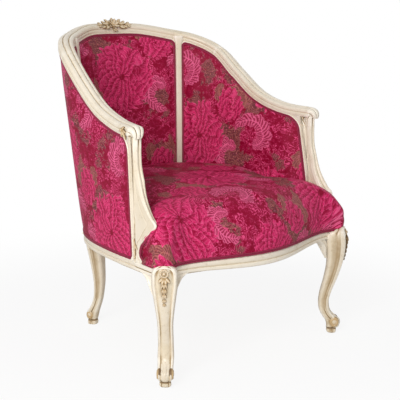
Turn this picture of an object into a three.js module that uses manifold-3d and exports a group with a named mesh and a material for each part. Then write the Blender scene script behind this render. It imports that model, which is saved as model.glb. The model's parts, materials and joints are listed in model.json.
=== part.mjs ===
// A French bergere armchair: a carved, painted frame with a tight sprung seat and a
// three-panel curved back. Lengths are millimetres, +Z is up, the front faces -Y, and
// left and right are those of the -X and +X sides, as seen by someone facing the chair.
import * as THREE from 'three';
import Module from 'manifold-3d';
import { mergeVertices } from 'three/addons/utils/BufferGeometryUtils.js';

const wasm = await Module();
wasm.setup();
const { lerp, smoothstep, degToRad } = THREE.MathUtils;

// Fits
const clearance = 0.3; // between wooden pieces that touch
const softGap = 0.8; // between upholstery and what frames it
const overrun = 6; // how far a cutter runs past the face that it cuts

// Overall plan, from the middle of the frame
const seatHalfSpan = 332; // outer face of the side rail beside the arm post
const seatBackReach = 258; // outer face of the rear rail
const knuckleReach = 205; // knuckle centre ahead of the middle
const cornerReach = 308; // outer face of the front rail beside the legs

// Top rail, one moulded path from knuckle to crest to knuckle
const crestHeight = 862; // rail centre above the floor in the middle of the back
const knuckleHeight = 631;
const knuckleInset = 6; // knuckle centre inside the side rail's outer face
const railHalfSpan = seatHalfSpan - knuckleInset;
const backLean = 53; // rail centre behind the rear rail's outer face
const backReach = seatBackReach + backLean;
const railWidth = 42;
const railDepth = 29;
const knuckleBendRadius = 16; // that the rail turns down on at its end
const rollAngle = 105; // degrees that the knuckle rolls over
const knuckleTaperShare = 0.62; // size of the moulding at the end of the roll
const shoulderShare = 0.5; // where crest rail and arm rail meet, as a share of the half path

// Seat frame
const frontBulge = 58; // how far the middle of the front rail swells forward
const seatRailBase = 281;
const showHeight = 24; // moulded part of the seat rail that stays in sight
const frontDrop = 8; // how far the front rail's lower edge hangs down in its middle
const seatRailThickness = 34;
const rebateDepth = 10; // step that the covers are tacked into
const rebateHeight = 28;
const seatRailTop = seatRailBase + showHeight + rebateHeight;

// Legs
const frontLegInset = 15; // foot centre inside the side rail's outer face
const frontLegSpan = seatHalfSpan - frontLegInset;
const frontLegSetback = 5; // foot centre behind the front rail's outer face
const frontLegReach = cornerReach - frontLegSetback;
const kneeRise = 21; // top of the knee above the moulded part of the rails
const frontLegHeight = seatRailBase + showHeight + kneeRise;
const kneeWidth = 66;
const kneeDepth = 64;
const frontLegSweep = 27; // how far the ankle draws in along the diagonal
const rearLegShare = 0.212; // place of the rear leg along the half path of the frame
const rearLegInset = 16;
const rearLegSize = 50;
const rearLegSweep = 15;
const legBlockWidth = 42; // square head that the rails are tenoned into
const frontBlockDepth = 44;
const frontBlockSetback = 8;
const rearBlockDepth = 30;
const rearBlockSetback = 8;

// Arm posts
const postThickness = 30;
const postLean = 6; // how far the top of the post stands outside its base
const postSetback = 25; // rear face behind the knuckle's centre
const postRear = knuckleReach - postSetback;
const postTipDepth = 112; // depth at the pointed tip over the seat
const postNeckDepth = 45;

// Back stiles
const stileShare = 0.295;
const stileFootShare = 0.308;
const stileWidth = 19;
const stileFlare = 16; // extra width where the stile runs into the crest rail
const stileProud = 1.5; // how far the stile stands inside the rail's inner edge

// Upholstery
const coverThickness = 8;
const coverInset = 3; // top rail's overhang past the covers
const skirtInset = 1; // seat rail's overhang past the covers
const insideEndShare = 0.965; // share of the path where the inside panels meet the posts
const outsideEndShare = 0.958; // share of the path where the outer covers meet them
const panelTopGap = 1.4;
const stileBackGap = 2;
const padThickness = 12;
const padBackInset = 22; // back of the pad from the seat rail's outer face
const padCrown = 16;
const panelJoint = 5; // room for the cord between a panel and its frame
const hessianThickness = 1.2;
const crownRise = 130; // middle of the seat above the rails
const seatCrown = seatRailTop + crownRise;
const rimDrop = 7; // from the middle of the seat to where it meets the back
const seatRim = seatCrown - rimDrop;
const edgeDrop = 69; // from the middle of the seat to where the front edge rounds over
const seatEdge = seatCrown - edgeDrop;
const seatBulge = 6; // swell of the seat's front face
const seatMiddleReach = 120; // top of the crown ahead of the middle of the frame
const stuffingDepth = 89; // over the springs
const wellHeight = seatCrown - stuffingDepth;

// Springs and linings
const webStrap = 76;
const webPitch = 118;
const webRowCount = 2; // straps each side of the middle one
const webSetForward = 40;
const webThickness = 2;
const liningThickness = 1.2;
const springRadius = 38;
const springWaist = 24;
const springPitch = 128;
const springRowCount = 3;
const springSetForward = 100; // middle of the springs ahead of the middle of the frame
const lashingSize = 4;
const blockHeight = 40;
const blockReach = 70;
const blockDepth = 26;

// Joinery
const tenonLength = 30;
const tenonWidth = 15;
const tenonThickness = 9;

// Carving
const flowerSpan = 116;
const flowerRise = 22;
const kneeRosette = 13;
const huskShare = 0.075; // length of a husk, of the leg's height
const huskStepShare = 0.64; // from one husk to the next, of a husk's length
const huskLength = frontLegHeight * huskShare;
const huskCount = 4;
const carvingSink = 2; // depth that the knee carving is let into the leg's face

// Path of the top rail from the middle of the back to the knuckle: shares of the half
// span, of the run from knuckle to back, and of the rise from knuckle to crest.
const railPathShares = [
  [0, 1, 1], [0.294, 0.972, 0.992], [0.543, 0.885, 0.926], [0.737, 0.78, 0.852],
  [0.848, 0.653, 0.715], [0.886, 0.504, 0.44], [0.908, 0.339, 0.172], [0.942, 0.169, 0.042], [1, 0, 0],
];
// Outer face of the seat frame beside it: shares of its half span and of its run.
const seatPathShares = [
  [0, 1], [0.271, 0.983], [0.497, 0.922], [0.63, 0.816],
  [0.75, 0.695], [0.845, 0.549], [0.915, 0.37], [0.965, 0.184], [1, 0],
];
// Moulded section of the top rail: shares of its width and depth, across and up.
const railSectionShares = [
  [-0.4, -0.5], [0.4, -0.5], [0.5, -0.35], [0.5, 0.05], [0.47, 0.24], [0.36, 0.37], [0.23, 0.38],
  [0.19, 0.29], [0.13, 0.44], [0, 0.5], [-0.13, 0.44], [-0.19, 0.29], [-0.23, 0.38],
  [-0.36, 0.37], [-0.47, 0.24], [-0.5, 0.05], [-0.5, -0.35],
];
// Show face of the seat rail, from its bottom up: shares of rebate depth and show height.
const showFaceShares = [
  [-0.5, 0], [-0.1, 0.08], [0, 0.2], [0, 0.36], [-0.25, 0.42], [-0.05, 0.52], [0, 0.8], [-0.2, 0.95], [-0.5, 1],
];
// Section of a leg: shares of its width and depth, across and outward. Two beads edge the face.
const legSectionShares = [
  [-0.5, 0.1], [-0.47, 0.33], [-0.38, 0.42], [-0.29, 0.36], [0, 0.5], [0.29, 0.36], [0.38, 0.42],
  [0.47, 0.33], [0.5, 0.1], [0.42, -0.33], [0.2, -0.48], [-0.2, -0.48], [-0.42, -0.33],
];
// Front leg from the floor up: shares of its height, sweep, depth and width.
const frontLegShares = [
  [0, 0, 0.44, 0.42], [0.03, 0.02, 0.58, 0.52], [0.075, 0.06, 0.7, 0.6], [0.12, -0.2, 0.62, 0.62],
  [0.17, -0.6, 0.5, 0.56], [0.225, -0.8, 0.46, 0.51], [0.295, -0.86, 0.47, 0.49], [0.37, -0.7, 0.53, 0.51],
  [0.51, -0.17, 0.64, 0.6], [0.63, 0.18, 0.74, 0.73], [0.73, 0.31, 0.84, 0.86], [0.83, 0.29, 0.94, 1],
  [0.915, 0.18, 0.95, 1], [0.955, 0.08, 0.9, 0.8], [0.985, 0, 0.82, 0.52], [1, -0.08, 0.76, 0.22],
];
// Rear leg from the floor up: shares of its shown height, of its sweep, depth and width.
const rearLegShares = [
  [0, 0.5, 0.56, 0.56], [0.033, 0.65, 0.66, 0.64], [0.1, 0.8, 0.72, 0.68], [0.15, 0.35, 0.64, 0.64],
  [0.215, -0.35, 0.55, 0.58], [0.3, -0.8, 0.54, 0.57], [0.43, -1, 0.62, 0.64], [0.63, -0.65, 0.8, 0.8],
  [0.83, -0.15, 0.97, 0.97], [1, 0, 1, 1],
];
// Arm post from its foot up: share of its height, then shares of the way from the neck's
// depth to the tip's depth, and how far the rear face steps back into the arm.
const postShares = [
  [0, 0.62, 0.1], [0.016, 0.37, 0.04], [0.05, 0.1, 0], [0.085, 0, 0], [0.15, 0.1, 0], [0.2, 0.37, 0],
  [0.28, 0.79, 0], [0.36, 1, 0], [0.44, 0.64, 0], [0.515, 0.37, 0], [0.61, 0.13, 0], [0.7, 0, 0],
  [0.84, -0.14, 0], [0.92, -0.18, 0.22], [0.97, -0.18, 0.56], [1.02, -0.18, 1],
];
const postFilletReach = 30; // how far the post's top spreads back under the arm

// Colours seen in the photograph
const paint = { color: '#efe7d4', roughness: 0.45, metalness: 0 };
const gilding = { color: '#b6965c', roughness: 0.4, metalness: 0.5 };
const damask = { color: '#a5164b', roughness: 0.7, metalness: 0 };
const linen = { color: '#b79b6e', roughness: 0.95, metalness: 0 };
const beech = { color: '#c49a6a', roughness: 0.7, metalness: 0 };
const steel = { color: '#8b8f94', roughness: 0.35, metalness: 1 };

const chair = new THREE.Group();
const solids = new Map();

function vec(x, y, z) {
  return new THREE.Vector3(x, y, z);
}

// Turns a closed geometry into a solid with its faces pointing out.
function toSolid(geometry) {
  const bare = new THREE.BufferGeometry();
  bare.setAttribute('position', geometry.getAttribute('position').clone());
  bare.setIndex(geometry.getIndex());
  const merged = mergeVertices(bare);
  const position = merged.getAttribute('position').array;
  const index = Uint32Array.from(merged.getIndex().array);
  if (signedVolume(position, index) < 0) index.reverse();
  const mesh = new wasm.Mesh({ numProp: 3, vertProperties: Float32Array.from(position), triVerts: index });
  return new wasm.Manifold(mesh);
}

function signedVolume(position, index) {
  const [a, b, c] = [vec(0, 0, 0), vec(0, 0, 0), vec(0, 0, 0)];
  let sum = 0;
  for (let i = 0; i < index.length; i += 3) {
    a.fromArray(position, 3 * index[i]);
    b.fromArray(position, 3 * index[i + 1]);
    c.fromArray(position, 3 * index[i + 2]);
    sum += a.dot(b.cross(c));
  }
  return sum;
}

function toGeometry(solid) {
  const mesh = solid.getMesh();
  const geometry = new THREE.BufferGeometry();
  geometry.setAttribute('position', new THREE.BufferAttribute(mesh.vertProperties, mesh.numProp));
  geometry.setIndex(new THREE.BufferAttribute(mesh.triVerts, 1));
  geometry.computeVertexNormals();
  return geometry;
}

// Skins a row of rings of equal count and caps both ends; the section gives the caps' faces.
function loft(rings, section) {
  const count = rings[0].length;
  const faces = [];
  for (let i = 0; i + 1 < rings.length; i += 1) {
    for (let j = 0; j < count; j += 1) {
      const next = (j + 1) % count;
      const [a, b, c, d] = [i * count + j, i * count + next, (i + 1) * count + next, (i + 1) * count + j];
      faces.push(a, b, c, a, c, d);
    }
  }
  const last = (rings.length - 1) * count;
  const turned = THREE.ShapeUtils.isClockWise(section);
  THREE.ShapeUtils.triangulateShape(section, []).forEach(([a, b, c]) => {
    const face = turned ? [c, b, a] : [a, b, c];
    faces.push(face[2], face[1], face[0], last + face[0], last + face[1], last + face[2]);
  });
  return fromPoints(rings.flat(), turned ? faces.slice().reverse() : faces);
}

function fromPoints(points, faces) {
  const geometry = new THREE.BufferGeometry().setFromPoints(points);
  geometry.setIndex(faces);
  return geometry;
}

// Skins rings that close on a point at the first and the last place.
function dome(bottom, rings, top) {
  const count = rings[0].length;
  const points = [bottom, ...rings.flat(), top];
  const faces = [];
  for (let j = 0; j < count; j += 1) {
    const next = (j + 1) % count;
    faces.push(0, 1 + next, 1 + j);
    const last = 1 + (rings.length - 1) * count;
    faces.push(points.length - 1, last + j, last + next);
    for (let i = 0; i + 1 < rings.length; i += 1) {
      const [a, b, c, d] = [i * count + j, i * count + next, (i + 1) * count + next, (i + 1) * count + j];
      faces.push(a + 1, b + 1, c + 1, a + 1, c + 1, d + 1);
    }
  }
  return fromPoints(points, faces);
}

// A closed slab between two surfaces of the same two parameters, each from 0 to 1.
function slab(front, back, across, along) {
  const points = [];
  const at = (side, i, j) => (side * (across + 1) + i) * (along + 1) + j;
  [front, back].forEach((surface) => {
    for (let i = 0; i <= across; i += 1) {
      for (let j = 0; j <= along; j += 1) points.push(surface(i / across, j / along));
    }
  });
  const faces = [];
  const quad = (a, b, c, d) => faces.push(a, b, c, a, c, d);
  for (let i = 0; i < across; i += 1) {
    for (let j = 0; j < along; j += 1) {
      quad(at(0, i, j), at(0, i + 1, j), at(0, i + 1, j + 1), at(0, i, j + 1));
      quad(at(1, i, j), at(1, i, j + 1), at(1, i + 1, j + 1), at(1, i + 1, j));
    }
    quad(at(0, i, 0), at(1, i, 0), at(1, i + 1, 0), at(0, i + 1, 0));
    quad(at(0, i, along), at(0, i + 1, along), at(1, i + 1, along), at(1, i, along));
  }
  for (let j = 0; j < along; j += 1) {
    quad(at(0, 0, j), at(0, 0, j + 1), at(1, 0, j + 1), at(1, 0, j));
    quad(at(0, across, j), at(1, across, j), at(1, across, j + 1), at(0, across, j + 1));
  }
  return fromPoints(points, faces);
}

// Offsets a closed outline outwards by an amount, edge by edge.
function growOutline(outline, amount) {
  if (amount === 0) return outline;
  const sign = THREE.ShapeUtils.isClockWise(outline) ? -1 : 1;
  return outline.map((point, i) => {
    const before = outline[(i + outline.length - 1) % outline.length];
    const after = outline[(i + 1) % outline.length];
    const into = point.clone().sub(before).normalize();
    const away = after.clone().sub(point).normalize();
    const bisector = new THREE.Vector2(into.y + away.y, -into.x - away.x).normalize();
    const spread = Math.max(0.4, bisector.dot(new THREE.Vector2(into.y, -into.x)));
    return point.clone().addScaledVector(bisector, (sign * amount) / spread);
  });
}

// A prism over a plan outline between two heights.
function prism(outline, low, high) {
  const shape = new THREE.Shape(outline);
  const geometry = new THREE.ExtrudeGeometry(shape, { depth: high - low, bevelEnabled: false, steps: 1 });
  return toSolid(geometry.translate(0, 0, low));
}

// A box whose length and width follow two directions.
function beam(centre, along, side, [length, width, height]) {
  const turn = new THREE.Matrix4().makeBasis(along, side, along.clone().cross(side)).setPosition(centre);
  return toSolid(new THREE.BoxGeometry(length, width, height).applyMatrix4(turn));
}

// The two guiding paths, mirrored about the middle plane
function mirrored(half) {
  const left = half.slice(1).reverse().map((point) => vec(-point.x, point.y, point.z));
  return new THREE.CatmullRomCurve3([...left, ...half], false, 'centripetal');
}

const railCurve = mirrored(railPathShares.map(([x, y, z]) => vec(
  x * railHalfSpan,
  lerp(-knuckleReach, backReach, y),
  lerp(knuckleHeight, crestHeight, z),
)));
const seatCurve = mirrored(seatPathShares.map(([x, y]) => vec(
  x * seatHalfSpan,
  lerp(-knuckleReach, seatBackReach, y),
  0,
)));

// Place, direction and outward normal on a path; the half path runs from 0 to 1, and past
// its end the path runs on straight.
function onPath(curve, share) {
  const held = THREE.MathUtils.clamp(share, -1, 1);
  const along = curve.getTangent((held + 1) / 2);
  const place = curve.getPoint((held + 1) / 2);
  const run = (share - held) * knuckleReach;
  place.addScaledVector(along, run);
  const outward = vec(along.y, -along.x, 0).multiplyScalar(-1).normalize();
  return { place, along, outward, up: outward.clone().cross(along).multiplyScalar(-1).normalize() };
}

const onRail = (share) => onPath(railCurve, share);
const onSeat = (share) => onPath(seatCurve, share);

// Height of the top rail's underside over a place on the path.
function railUnderside(share) {
  const { place, up } = onRail(share);
  return place.z - railDepth / 2 / Math.abs(up.z);
}

function railRing(share, grow) {
  const { place, outward, up } = onRail(share);
  return sectionRing(railSection(grow), place, outward, up, 1);
}

function railSection(grow) {
  const outline = railSectionShares.map(([u, v]) => new THREE.Vector2(u * railWidth, v * railDepth));
  return growOutline(outline, grow);
}

function sectionRing(section, place, across, up, scale) {
  return section.map((point) => place.clone()
    .addScaledVector(across, point.x * scale)
    .addScaledVector(up, point.y * scale));
}

const crestSteps = 32;
const armSteps = 14;
const bendSteps = 6;

function crestRail(grow) {
  const rings = [];
  for (let i = 0; i <= crestSteps; i += 1) {
    rings.push(railRing(lerp(-shoulderShare, shoulderShare, i / crestSteps), grow));
  }
  return toSolid(loft(rings, railSection(grow)));
}

// Arm rail: runs from the shoulder to the knuckle, then rolls over and down.
function armRail(side, grow) {
  const rings = [];
  const jointShare = shoulderShare + clearance / railHalfSpan;
  for (let i = 0; i <= armSteps; i += 1) {
    rings.push(railRing(side * lerp(jointShare, 1, i / armSteps), grow));
  }
  const { place, along, outward, up } = onRail(side);
  const forward = along.clone().multiplyScalar(side);
  const pivot = place.clone().addScaledVector(up, -knuckleBendRadius);
  for (let i = 1; i <= bendSteps; i += 1) {
    const angle = degToRad(lerp(0, rollAngle, i / bendSteps));
    const out = up.clone().multiplyScalar(Math.cos(angle)).addScaledVector(forward, Math.sin(angle));
    const centre = pivot.clone().addScaledVector(out, knuckleBendRadius);
    const past = forward.clone().multiplyScalar(Math.cos(angle)).addScaledVector(up, -Math.sin(angle));
    if (i === bendSteps) centre.addScaledVector(past, grow);
    rings.push(sectionRing(railSection(grow), centre, outward, out, lerp(1, knuckleTaperShare, i / bendSteps)));
  }
  return toSolid(loft(rings, railSection(grow)));
}

// Seat rails: one section carried along the frame's path or along the front curve
function seatRailSection(grow) {
  const face = showFaceShares.map(([u, v]) => new THREE.Vector2(u * rebateDepth, v * showHeight));
  const outline = [
    new THREE.Vector2(-seatRailThickness, 0), new THREE.Vector2(-rebateDepth, 0), ...face,
    new THREE.Vector2(-rebateDepth, showHeight),
    new THREE.Vector2(-rebateDepth, showHeight + rebateHeight),
    new THREE.Vector2(-seatRailThickness, showHeight + rebateHeight),
  ];
  return growOutline(outline, grow);
}

function frontBump(x) {
  const share = Math.min(1, Math.abs(x) / (frontLegSpan - kneeWidth / 4));
  return (1 + Math.cos(Math.PI * share)) / 2;
}

function frontFace(x) {
  return vec(x, -cornerReach - frontBulge * frontBump(x), 0);
}

function frontNormal(x) {
  const step = seatRailThickness / 4;
  const run = frontFace(x + step).sub(frontFace(x - step));
  return vec(run.y, -run.x, 0).normalize();
}

// Each place can draw the show face's lower edge down by its drop.
function sweptSeatRail(places, grow) {
  const section = seatRailSection(grow);
  const rings = places.map(({ place, outward, drop = 0 }) => section.map((point) => {
    const low = point.x > -rebateDepth ? Math.max(0, showHeight - point.y) / showHeight : 0;
    return place.clone().addScaledVector(outward, point.x).setZ(seatRailBase + point.y - drop * low);
  }));
  return toSolid(loft(rings, section));
}

function spread(from, to, steps) {
  return Array.from({ length: steps + 1 }, (_, i) => lerp(from, to, i / steps));
}

const frontRailSteps = 24;
const sideRailSteps = 16;
const rearRailSteps = 8;
const sideRailEnd = frontLegReach / knuckleReach; // share that lies over the middle of the front leg
const railSetback = kneeWidth / 4; // where the rails end, short of the middle of the front leg
const halfRun = seatCurve.getLength() / 2;
const rearLegQuarter = rearLegSize / 4 / halfRun; // a quarter of the leg, as a share of the half path

function frontSeatRail(grow) {
  const end = frontLegSpan - railSetback;
  const places = spread(-end, end, frontRailSteps)
    .map((x) => ({ place: frontFace(x), outward: frontNormal(x), drop: frontDrop * frontBump(x) }));
  return sweptSeatRail(places, grow);
}

function sideSeatRail(side, grow) {
  const end = sideRailEnd - railSetback / knuckleReach;
  const places = spread(rearLegShare + rearLegQuarter, end, sideRailSteps)
    .map((share) => onSeat(side * share));
  return sweptSeatRail(places, grow);
}

function rearSeatRail(grow) {
  const end = rearLegShare - rearLegQuarter;
  return sweptSeatRail(spread(-end, end, rearRailSteps).map(onSeat), grow);
}

// Legs: a moulded section that swells at the knee, draws in at the ankle and rolls out at the toe
function legBase(kind, side) {
  if (kind === 'front') {
    return {
      place: vec(side * frontLegSpan, -frontLegReach, 0),
      outward: vec(side, -1, 0).normalize(),
      shares: frontLegShares,
      height: frontLegHeight,
      sweep: frontLegSweep,
      depth: kneeDepth,
      width: kneeWidth,
      blockDepth: frontBlockDepth,
      setback: frontBlockSetback,
      headTop: frontLegHeight - overrun,
    };
  }
  const { place, outward } = onSeat(side * rearLegShare);
  return {
    place: place.addScaledVector(outward, -rearLegInset),
    outward,
    shares: rearLegShares,
    height: seatRailBase + showHeight,
    sweep: rearLegSweep,
    depth: rearLegSize,
    width: rearLegSize,
    blockDepth: rearBlockDepth,
    setback: rearBlockSetback,
    headTop: seatRailTop,
  };
}

function legShaft(kind, side, grow) {
  const base = legBase(kind, side);
  const across = vec(0, 0, 1).cross(base.outward);
  const unit = legSectionShares.map(([u, v]) => new THREE.Vector2(u, v));
  const rings = base.shares.map(([rise, sweep, depth, width], i) => {
    const centre = base.place.clone().addScaledVector(base.outward, sweep * base.sweep);
    centre.z = rise * base.height + grow * (i === 0 ? -1 : smoothstep(rise, 0.85, 1));
    return unit.map((point) => centre.clone()
      .addScaledVector(across, point.x * (width * base.width + 2 * grow))
      .addScaledVector(base.outward, point.y * (depth * base.depth + 2 * grow)));
  });
  return toSolid(loft(rings, unit));
}

function legHead(kind, side, grow) {
  const base = legBase(kind, side);
  const head = base.place.clone().addScaledVector(base.outward, -base.setback)
    .setZ((seatRailBase + base.headTop) / 2);
  return beam(head, base.outward, vec(0, 0, 1).cross(base.outward), [
    base.blockDepth + 2 * grow, legBlockWidth + 2 * grow, base.headTop - seatRailBase + 2 * grow,
  ]);
}

function leg(kind, side, grow) {
  return legShaft(kind, side, grow).add(legHead(kind, side, grow));
}

// Distance of a leg's face from its foot centre at a height, along its outward direction.
function legFace(kind, side, height) {
  const base = legBase(kind, side);
  const rows = base.shares;
  const rise = height / base.height;
  const i = Math.max(0, Math.min(rows.length - 2, rows.findIndex((row) => row[0] > rise) - 1));
  const mix = (rise - rows[i][0]) / (rows[i + 1][0] - rows[i][0]);
  const sweep = lerp(rows[i][1], rows[i + 1][1], mix) * base.sweep;
  return sweep + (lerp(rows[i][2], rows[i + 1][2], mix) * base.depth) / 2;
}

// Arm post: stands on the side rail, sweeps forward over the seat and spreads into the arm
const postFoot = seatRailBase + showHeight;
const postTop = knuckleHeight - railDepth / 2;
// Plan section of the post from its front face back: shares of thickness and of depth.
const postSectionShares = [
  [-0.5, -1], [-0.5, -0.16], [-0.42, -0.04], [-0.22, 0], [-0.1, -0.03], [0, -0.09], [0.1, -0.03],
  [0.22, 0], [0.42, -0.04], [0.5, -0.16], [0.5, -1],
];

function armPost(side, grow) {
  const unit = postSectionShares.map(([u, v]) => new THREE.Vector2(u, v));
  const rings = postShares.map(([rise, reach, back]) => {
    const height = lerp(postFoot, postTop, rise);
    const inner = seatHalfSpan - postThickness / 2 + postLean * smoothstep(rise, 0, 1);
    const front = -postRear - lerp(postNeckDepth, postTipDepth, reach) - grow;
    const rear = -postRear + back * postFilletReach + grow;
    return unit.map((point) => vec(
      side * inner + point.x * (postThickness + 2 * grow),
      lerp(front, rear, -point.y),
      height,
    ));
  });
  return toSolid(loft(rings, unit));
}

// Back stile: an upright between the panels, on the seat frame and under the crest rail
const stileSteps = 8;

const stileAt = (rise) => lerp(stileFootShare, stileShare, rise);

function wallLine(share, height, bottomInset, topInset) {
  const low = onSeat(share);
  const high = onRail(share);
  const from = low.place.clone().addScaledVector(low.outward, -bottomInset).setZ(seatRailBase + showHeight);
  const to = high.place.clone().addScaledVector(high.outward, railWidth / 2 - topInset);
  const mix = (height - from.z) / (to.z - from.z);
  return from.lerp(to, mix).setZ(height);
}

function backStile(side, grow) {
  const low = seatRailTop + clearance - grow;
  const high = onRail(side * stileShare).place.z;
  const { outward } = onRail(side * stileShare);
  const across = vec(0, 0, 1).cross(outward);
  const rings = spread(low, high, stileSteps).map((height) => {
    const rise = (height - low) / (high - low);
    const share = side * stileAt(rise);
    const half = stileWidth / 2 + (stileFlare / 2) * smoothstep(rise, 0.8, 1) + grow;
    const behind = coverThickness + stileBackGap - grow;
    const back = wallLine(share, height, skirtInset + behind, coverInset + behind);
    const front = wallLine(share, height, seatRailThickness + stileProud, railWidth + stileProud)
      .addScaledVector(outward, -grow);
    const soft = front.clone().addScaledVector(outward, stileWidth / 8);
    return [
      back.clone().addScaledVector(across, -half), back.clone().addScaledVector(across, half),
      soft.clone().addScaledVector(across, half), front.clone().addScaledVector(across, half / 2),
      front.clone().addScaledVector(across, -half / 2), soft.clone().addScaledVector(across, -half),
    ];
  });
  const section = [[-1, 1], [1, 1], [1, -0.8], [0.5, -1], [-0.5, -1], [-1, -0.8]]
    .map(([x, y]) => new THREE.Vector2(x, y));
  return toSolid(loft(rings, section));
}

// Upholstered walls: each panel is a slab between two surfaces of the wall
const outerFoot = seatRailBase + showHeight + softGap;
const innerFoot = seatRailTop + hessianThickness + 2 * softGap;

// Share of the path at a place in a panel: side panels run from their stile to the post.
function panelShare(name, s, h, inset, end) {
  const stile = stileAt(h);
  const trim = inset / halfRun;
  if (name === 'centre') return lerp(trim - stile, stile - trim, s);
  return (name === 'left' ? -1 : 1) * lerp(stile + trim, end, s);
}

function panelPoint(name, s, h, { foot, inset, end }, depths, crown) {
  const share = panelShare(name, s, h, inset, end);
  const top = railUnderside(share) - panelTopGap;
  const place = wallLine(share, lerp(foot, top, h), depths[0], depths[1]);
  const swell = crown * (1 - (2 * s - 1) ** 4) * (1 - (2 * h - 1) ** 4);
  return place.addScaledVector(onSeat(share).outward, -swell);
}

const panelColumns = { centre: 12, left: 15, right: 15 };
const panelRowCount = 7;
const coverRowCount = 4;
const stileRoom = stileWidth / 2 + panelJoint;
const outerSeat = { foot: outerFoot, inset: softGap / 2, end: outsideEndShare };
const innerSeat = { foot: innerFoot, inset: stileRoom, end: insideEndShare };

function outerCover(name) {
  const back = [skirtInset, coverInset].map((depth) => depth + coverThickness - softGap);
  const outside = (s, h) => panelPoint(name, s, h, outerSeat, [skirtInset, coverInset], 0);
  const inside = (s, h) => panelPoint(name, s, h, outerSeat, back, 0);
  return toSolid(slab(outside, inside, panelColumns[name], coverRowCount));
}

function insidePad(name) {
  const faceDepths = [seatRailThickness, railWidth - coverInset];
  const backDepths = [padBackInset, railWidth - coverInset - padThickness];
  const face = (s, h) => panelPoint(name, s, h, innerSeat, faceDepths, padCrown);
  const back = (s, h) => panelPoint(name, s, h, innerSeat, backDepths, 0);
  return toSolid(slab(face, back, panelColumns[name], panelRowCount));
}

function insideHessian(name) {
  const near = [padBackInset - clearance, railWidth - coverInset - padThickness - clearance];
  const far = near.map((depth) => depth - hessianThickness);
  const face = (s, h) => panelPoint(name, s, h, innerSeat, near, 0);
  const back = (s, h) => panelPoint(name, s, h, innerSeat, far, 0);
  return toSolid(slab(face, back, panelColumns[name], panelRowCount));
}

// Plan outline of the seat frame at the rails' outer faces, from the left corner round the
// back to the right corner and home along the front
const outlineBackSteps = 20;
const outlineFrontSteps = 18;
const cornerFullnessShare = 0.33; // share of the knee's depth that the corner of the cover reaches
const frontRun = frontLegSpan - kneeWidth / 3;

function legCorner(side) {
  const base = legBase('front', side);
  return base.place.addScaledVector(base.outward, kneeDepth * cornerFullnessShare);
}

function frontCorners() {
  return [legCorner(1), ...spread(frontRun, -frontRun, outlineFrontSteps).map(frontFace), legCorner(-1)];
}

function frameOutline(inset) {
  const back = spread(-sideRailEnd, sideRailEnd, outlineBackSteps).map((share) => onSeat(share).place);
  const points = [...back, ...frontCorners()].map((point) => new THREE.Vector2(point.x, point.y));
  return growOutline(points, -inset);
}

// The same outline drawn in towards the middle of the seat
function drawnOutline(distance) {
  const middle = new THREE.Vector2(0, -seatMiddleReach);
  return frameOutline(0).map((point) => {
    const reach = point.distanceTo(middle);
    return point.sub(middle).multiplyScalar((reach - distance) / reach).add(middle);
  });
}

// Seat: a tight sprung cushion. Behind the posts the inside panels bound it, and in front of
// them it fills the frame's own outline.
const seatBackSteps = 26;
const seatSideSteps = 3;
const seatPostShare = 0.975;

function seatOutline(height) {
  const back = spread(-seatPostShare, seatPostShare, seatBackSteps).map((share) => (
    wallLine(share, height, seatRailThickness + padCrown + softGap, railWidth - coverInset + padCrown + softGap)
  ));
  const right = spread(1, sideRailEnd, seatSideSteps).map((share) => onSeat(share));
  const left = spread(-sideRailEnd, -1, seatSideSteps).map((share) => onSeat(share));
  const inset = ({ place, outward }) => place.addScaledVector(outward, -skirtInset);
  return [...back, ...right.map(inset), ...frontCorners(), ...left.map(inset)];
}

// Rings of the seat from its foot to its crown: share of the way out from the middle, share
// of the rise from foot to rim at the back, and of the rise from foot to edge at the front.
const seatRingShares = [
  [1, 0, 0], [1, 0.3, 0.24], [1, 0.6, 0.48], [0.995, 0.82, 0.73], [0.982, 0.93, 0.95], [0.958, 0.99, 1.15],
  [0.915, 1.02, 1.32], [0.84, 1.045, 1.47], [0.7, 1.06, 1.6], [0.48, 1.07, 1.69], [0.24, 1.075, 1.73],
];
const seatFoot = seatRailBase + showHeight + softGap;
const forwardStart = -20;
const forwardEnd = postRear + postNeckDepth;
const easingPassCount = 5;
const easingReachShare = 0.25; // share of the way in over which the outline is eased

// An outline with its jogs eased, so that they fade out towards the crown.
function eased(outline) {
  let points = outline;
  for (let pass = 0; pass < easingPassCount; pass += 1) {
    points = points.map((point, i) => point.clone()
      .add(points[(i + 1) % points.length])
      .add(points[(i + points.length - 1) % points.length])
      .divideScalar(3));
  }
  return points;
}

function seatPad() {
  const middle = vec(0, -seatMiddleReach, 0);
  const rings = seatRingShares.map(([scale, back, front]) => {
    const rear = lerp(innerFoot, seatRim, back);
    const fore = lerp(seatFoot, seatEdge, front);
    const outline = seatOutline(Math.min(rear, seatRim));
    const smooth = eased(outline);
    return outline.map((edge, i) => {
      const point = edge.clone().lerp(smooth[i], smoothstep(1 - scale, 0, easingReachShare));
      const forward = smoothstep(-point.y, forwardStart, forwardEnd);
      const ahead = smoothstep(-point.y, forwardEnd, cornerReach);
      const swell = (ahead * seatBulge * Math.sin(Math.PI * Math.min(1, front))) / seatHalfSpan;
      const place = point.setZ(0).sub(middle).multiplyScalar(scale + swell).add(middle);
      return place.setZ(Math.min(seatCrown, lerp(rear, fore, forward)));
    });
  });
  const top = middle.clone().setZ(seatCrown);
  const bottom = middle.clone().setZ(seatFoot);
  return toSolid(dome(bottom, rings, top));
}

// Hollow under the seat: over the rails and, higher, over the springs
const wellInset = 50;

function seatHollow() {
  const overRails = frameOutline(rebateDepth - softGap);
  const overSprings = drawnOutline(wellInset);
  return prism(overRails, seatFoot - overrun, innerFoot)
    .add(prism(overSprings, seatRailTop, wellHeight));
}

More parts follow.
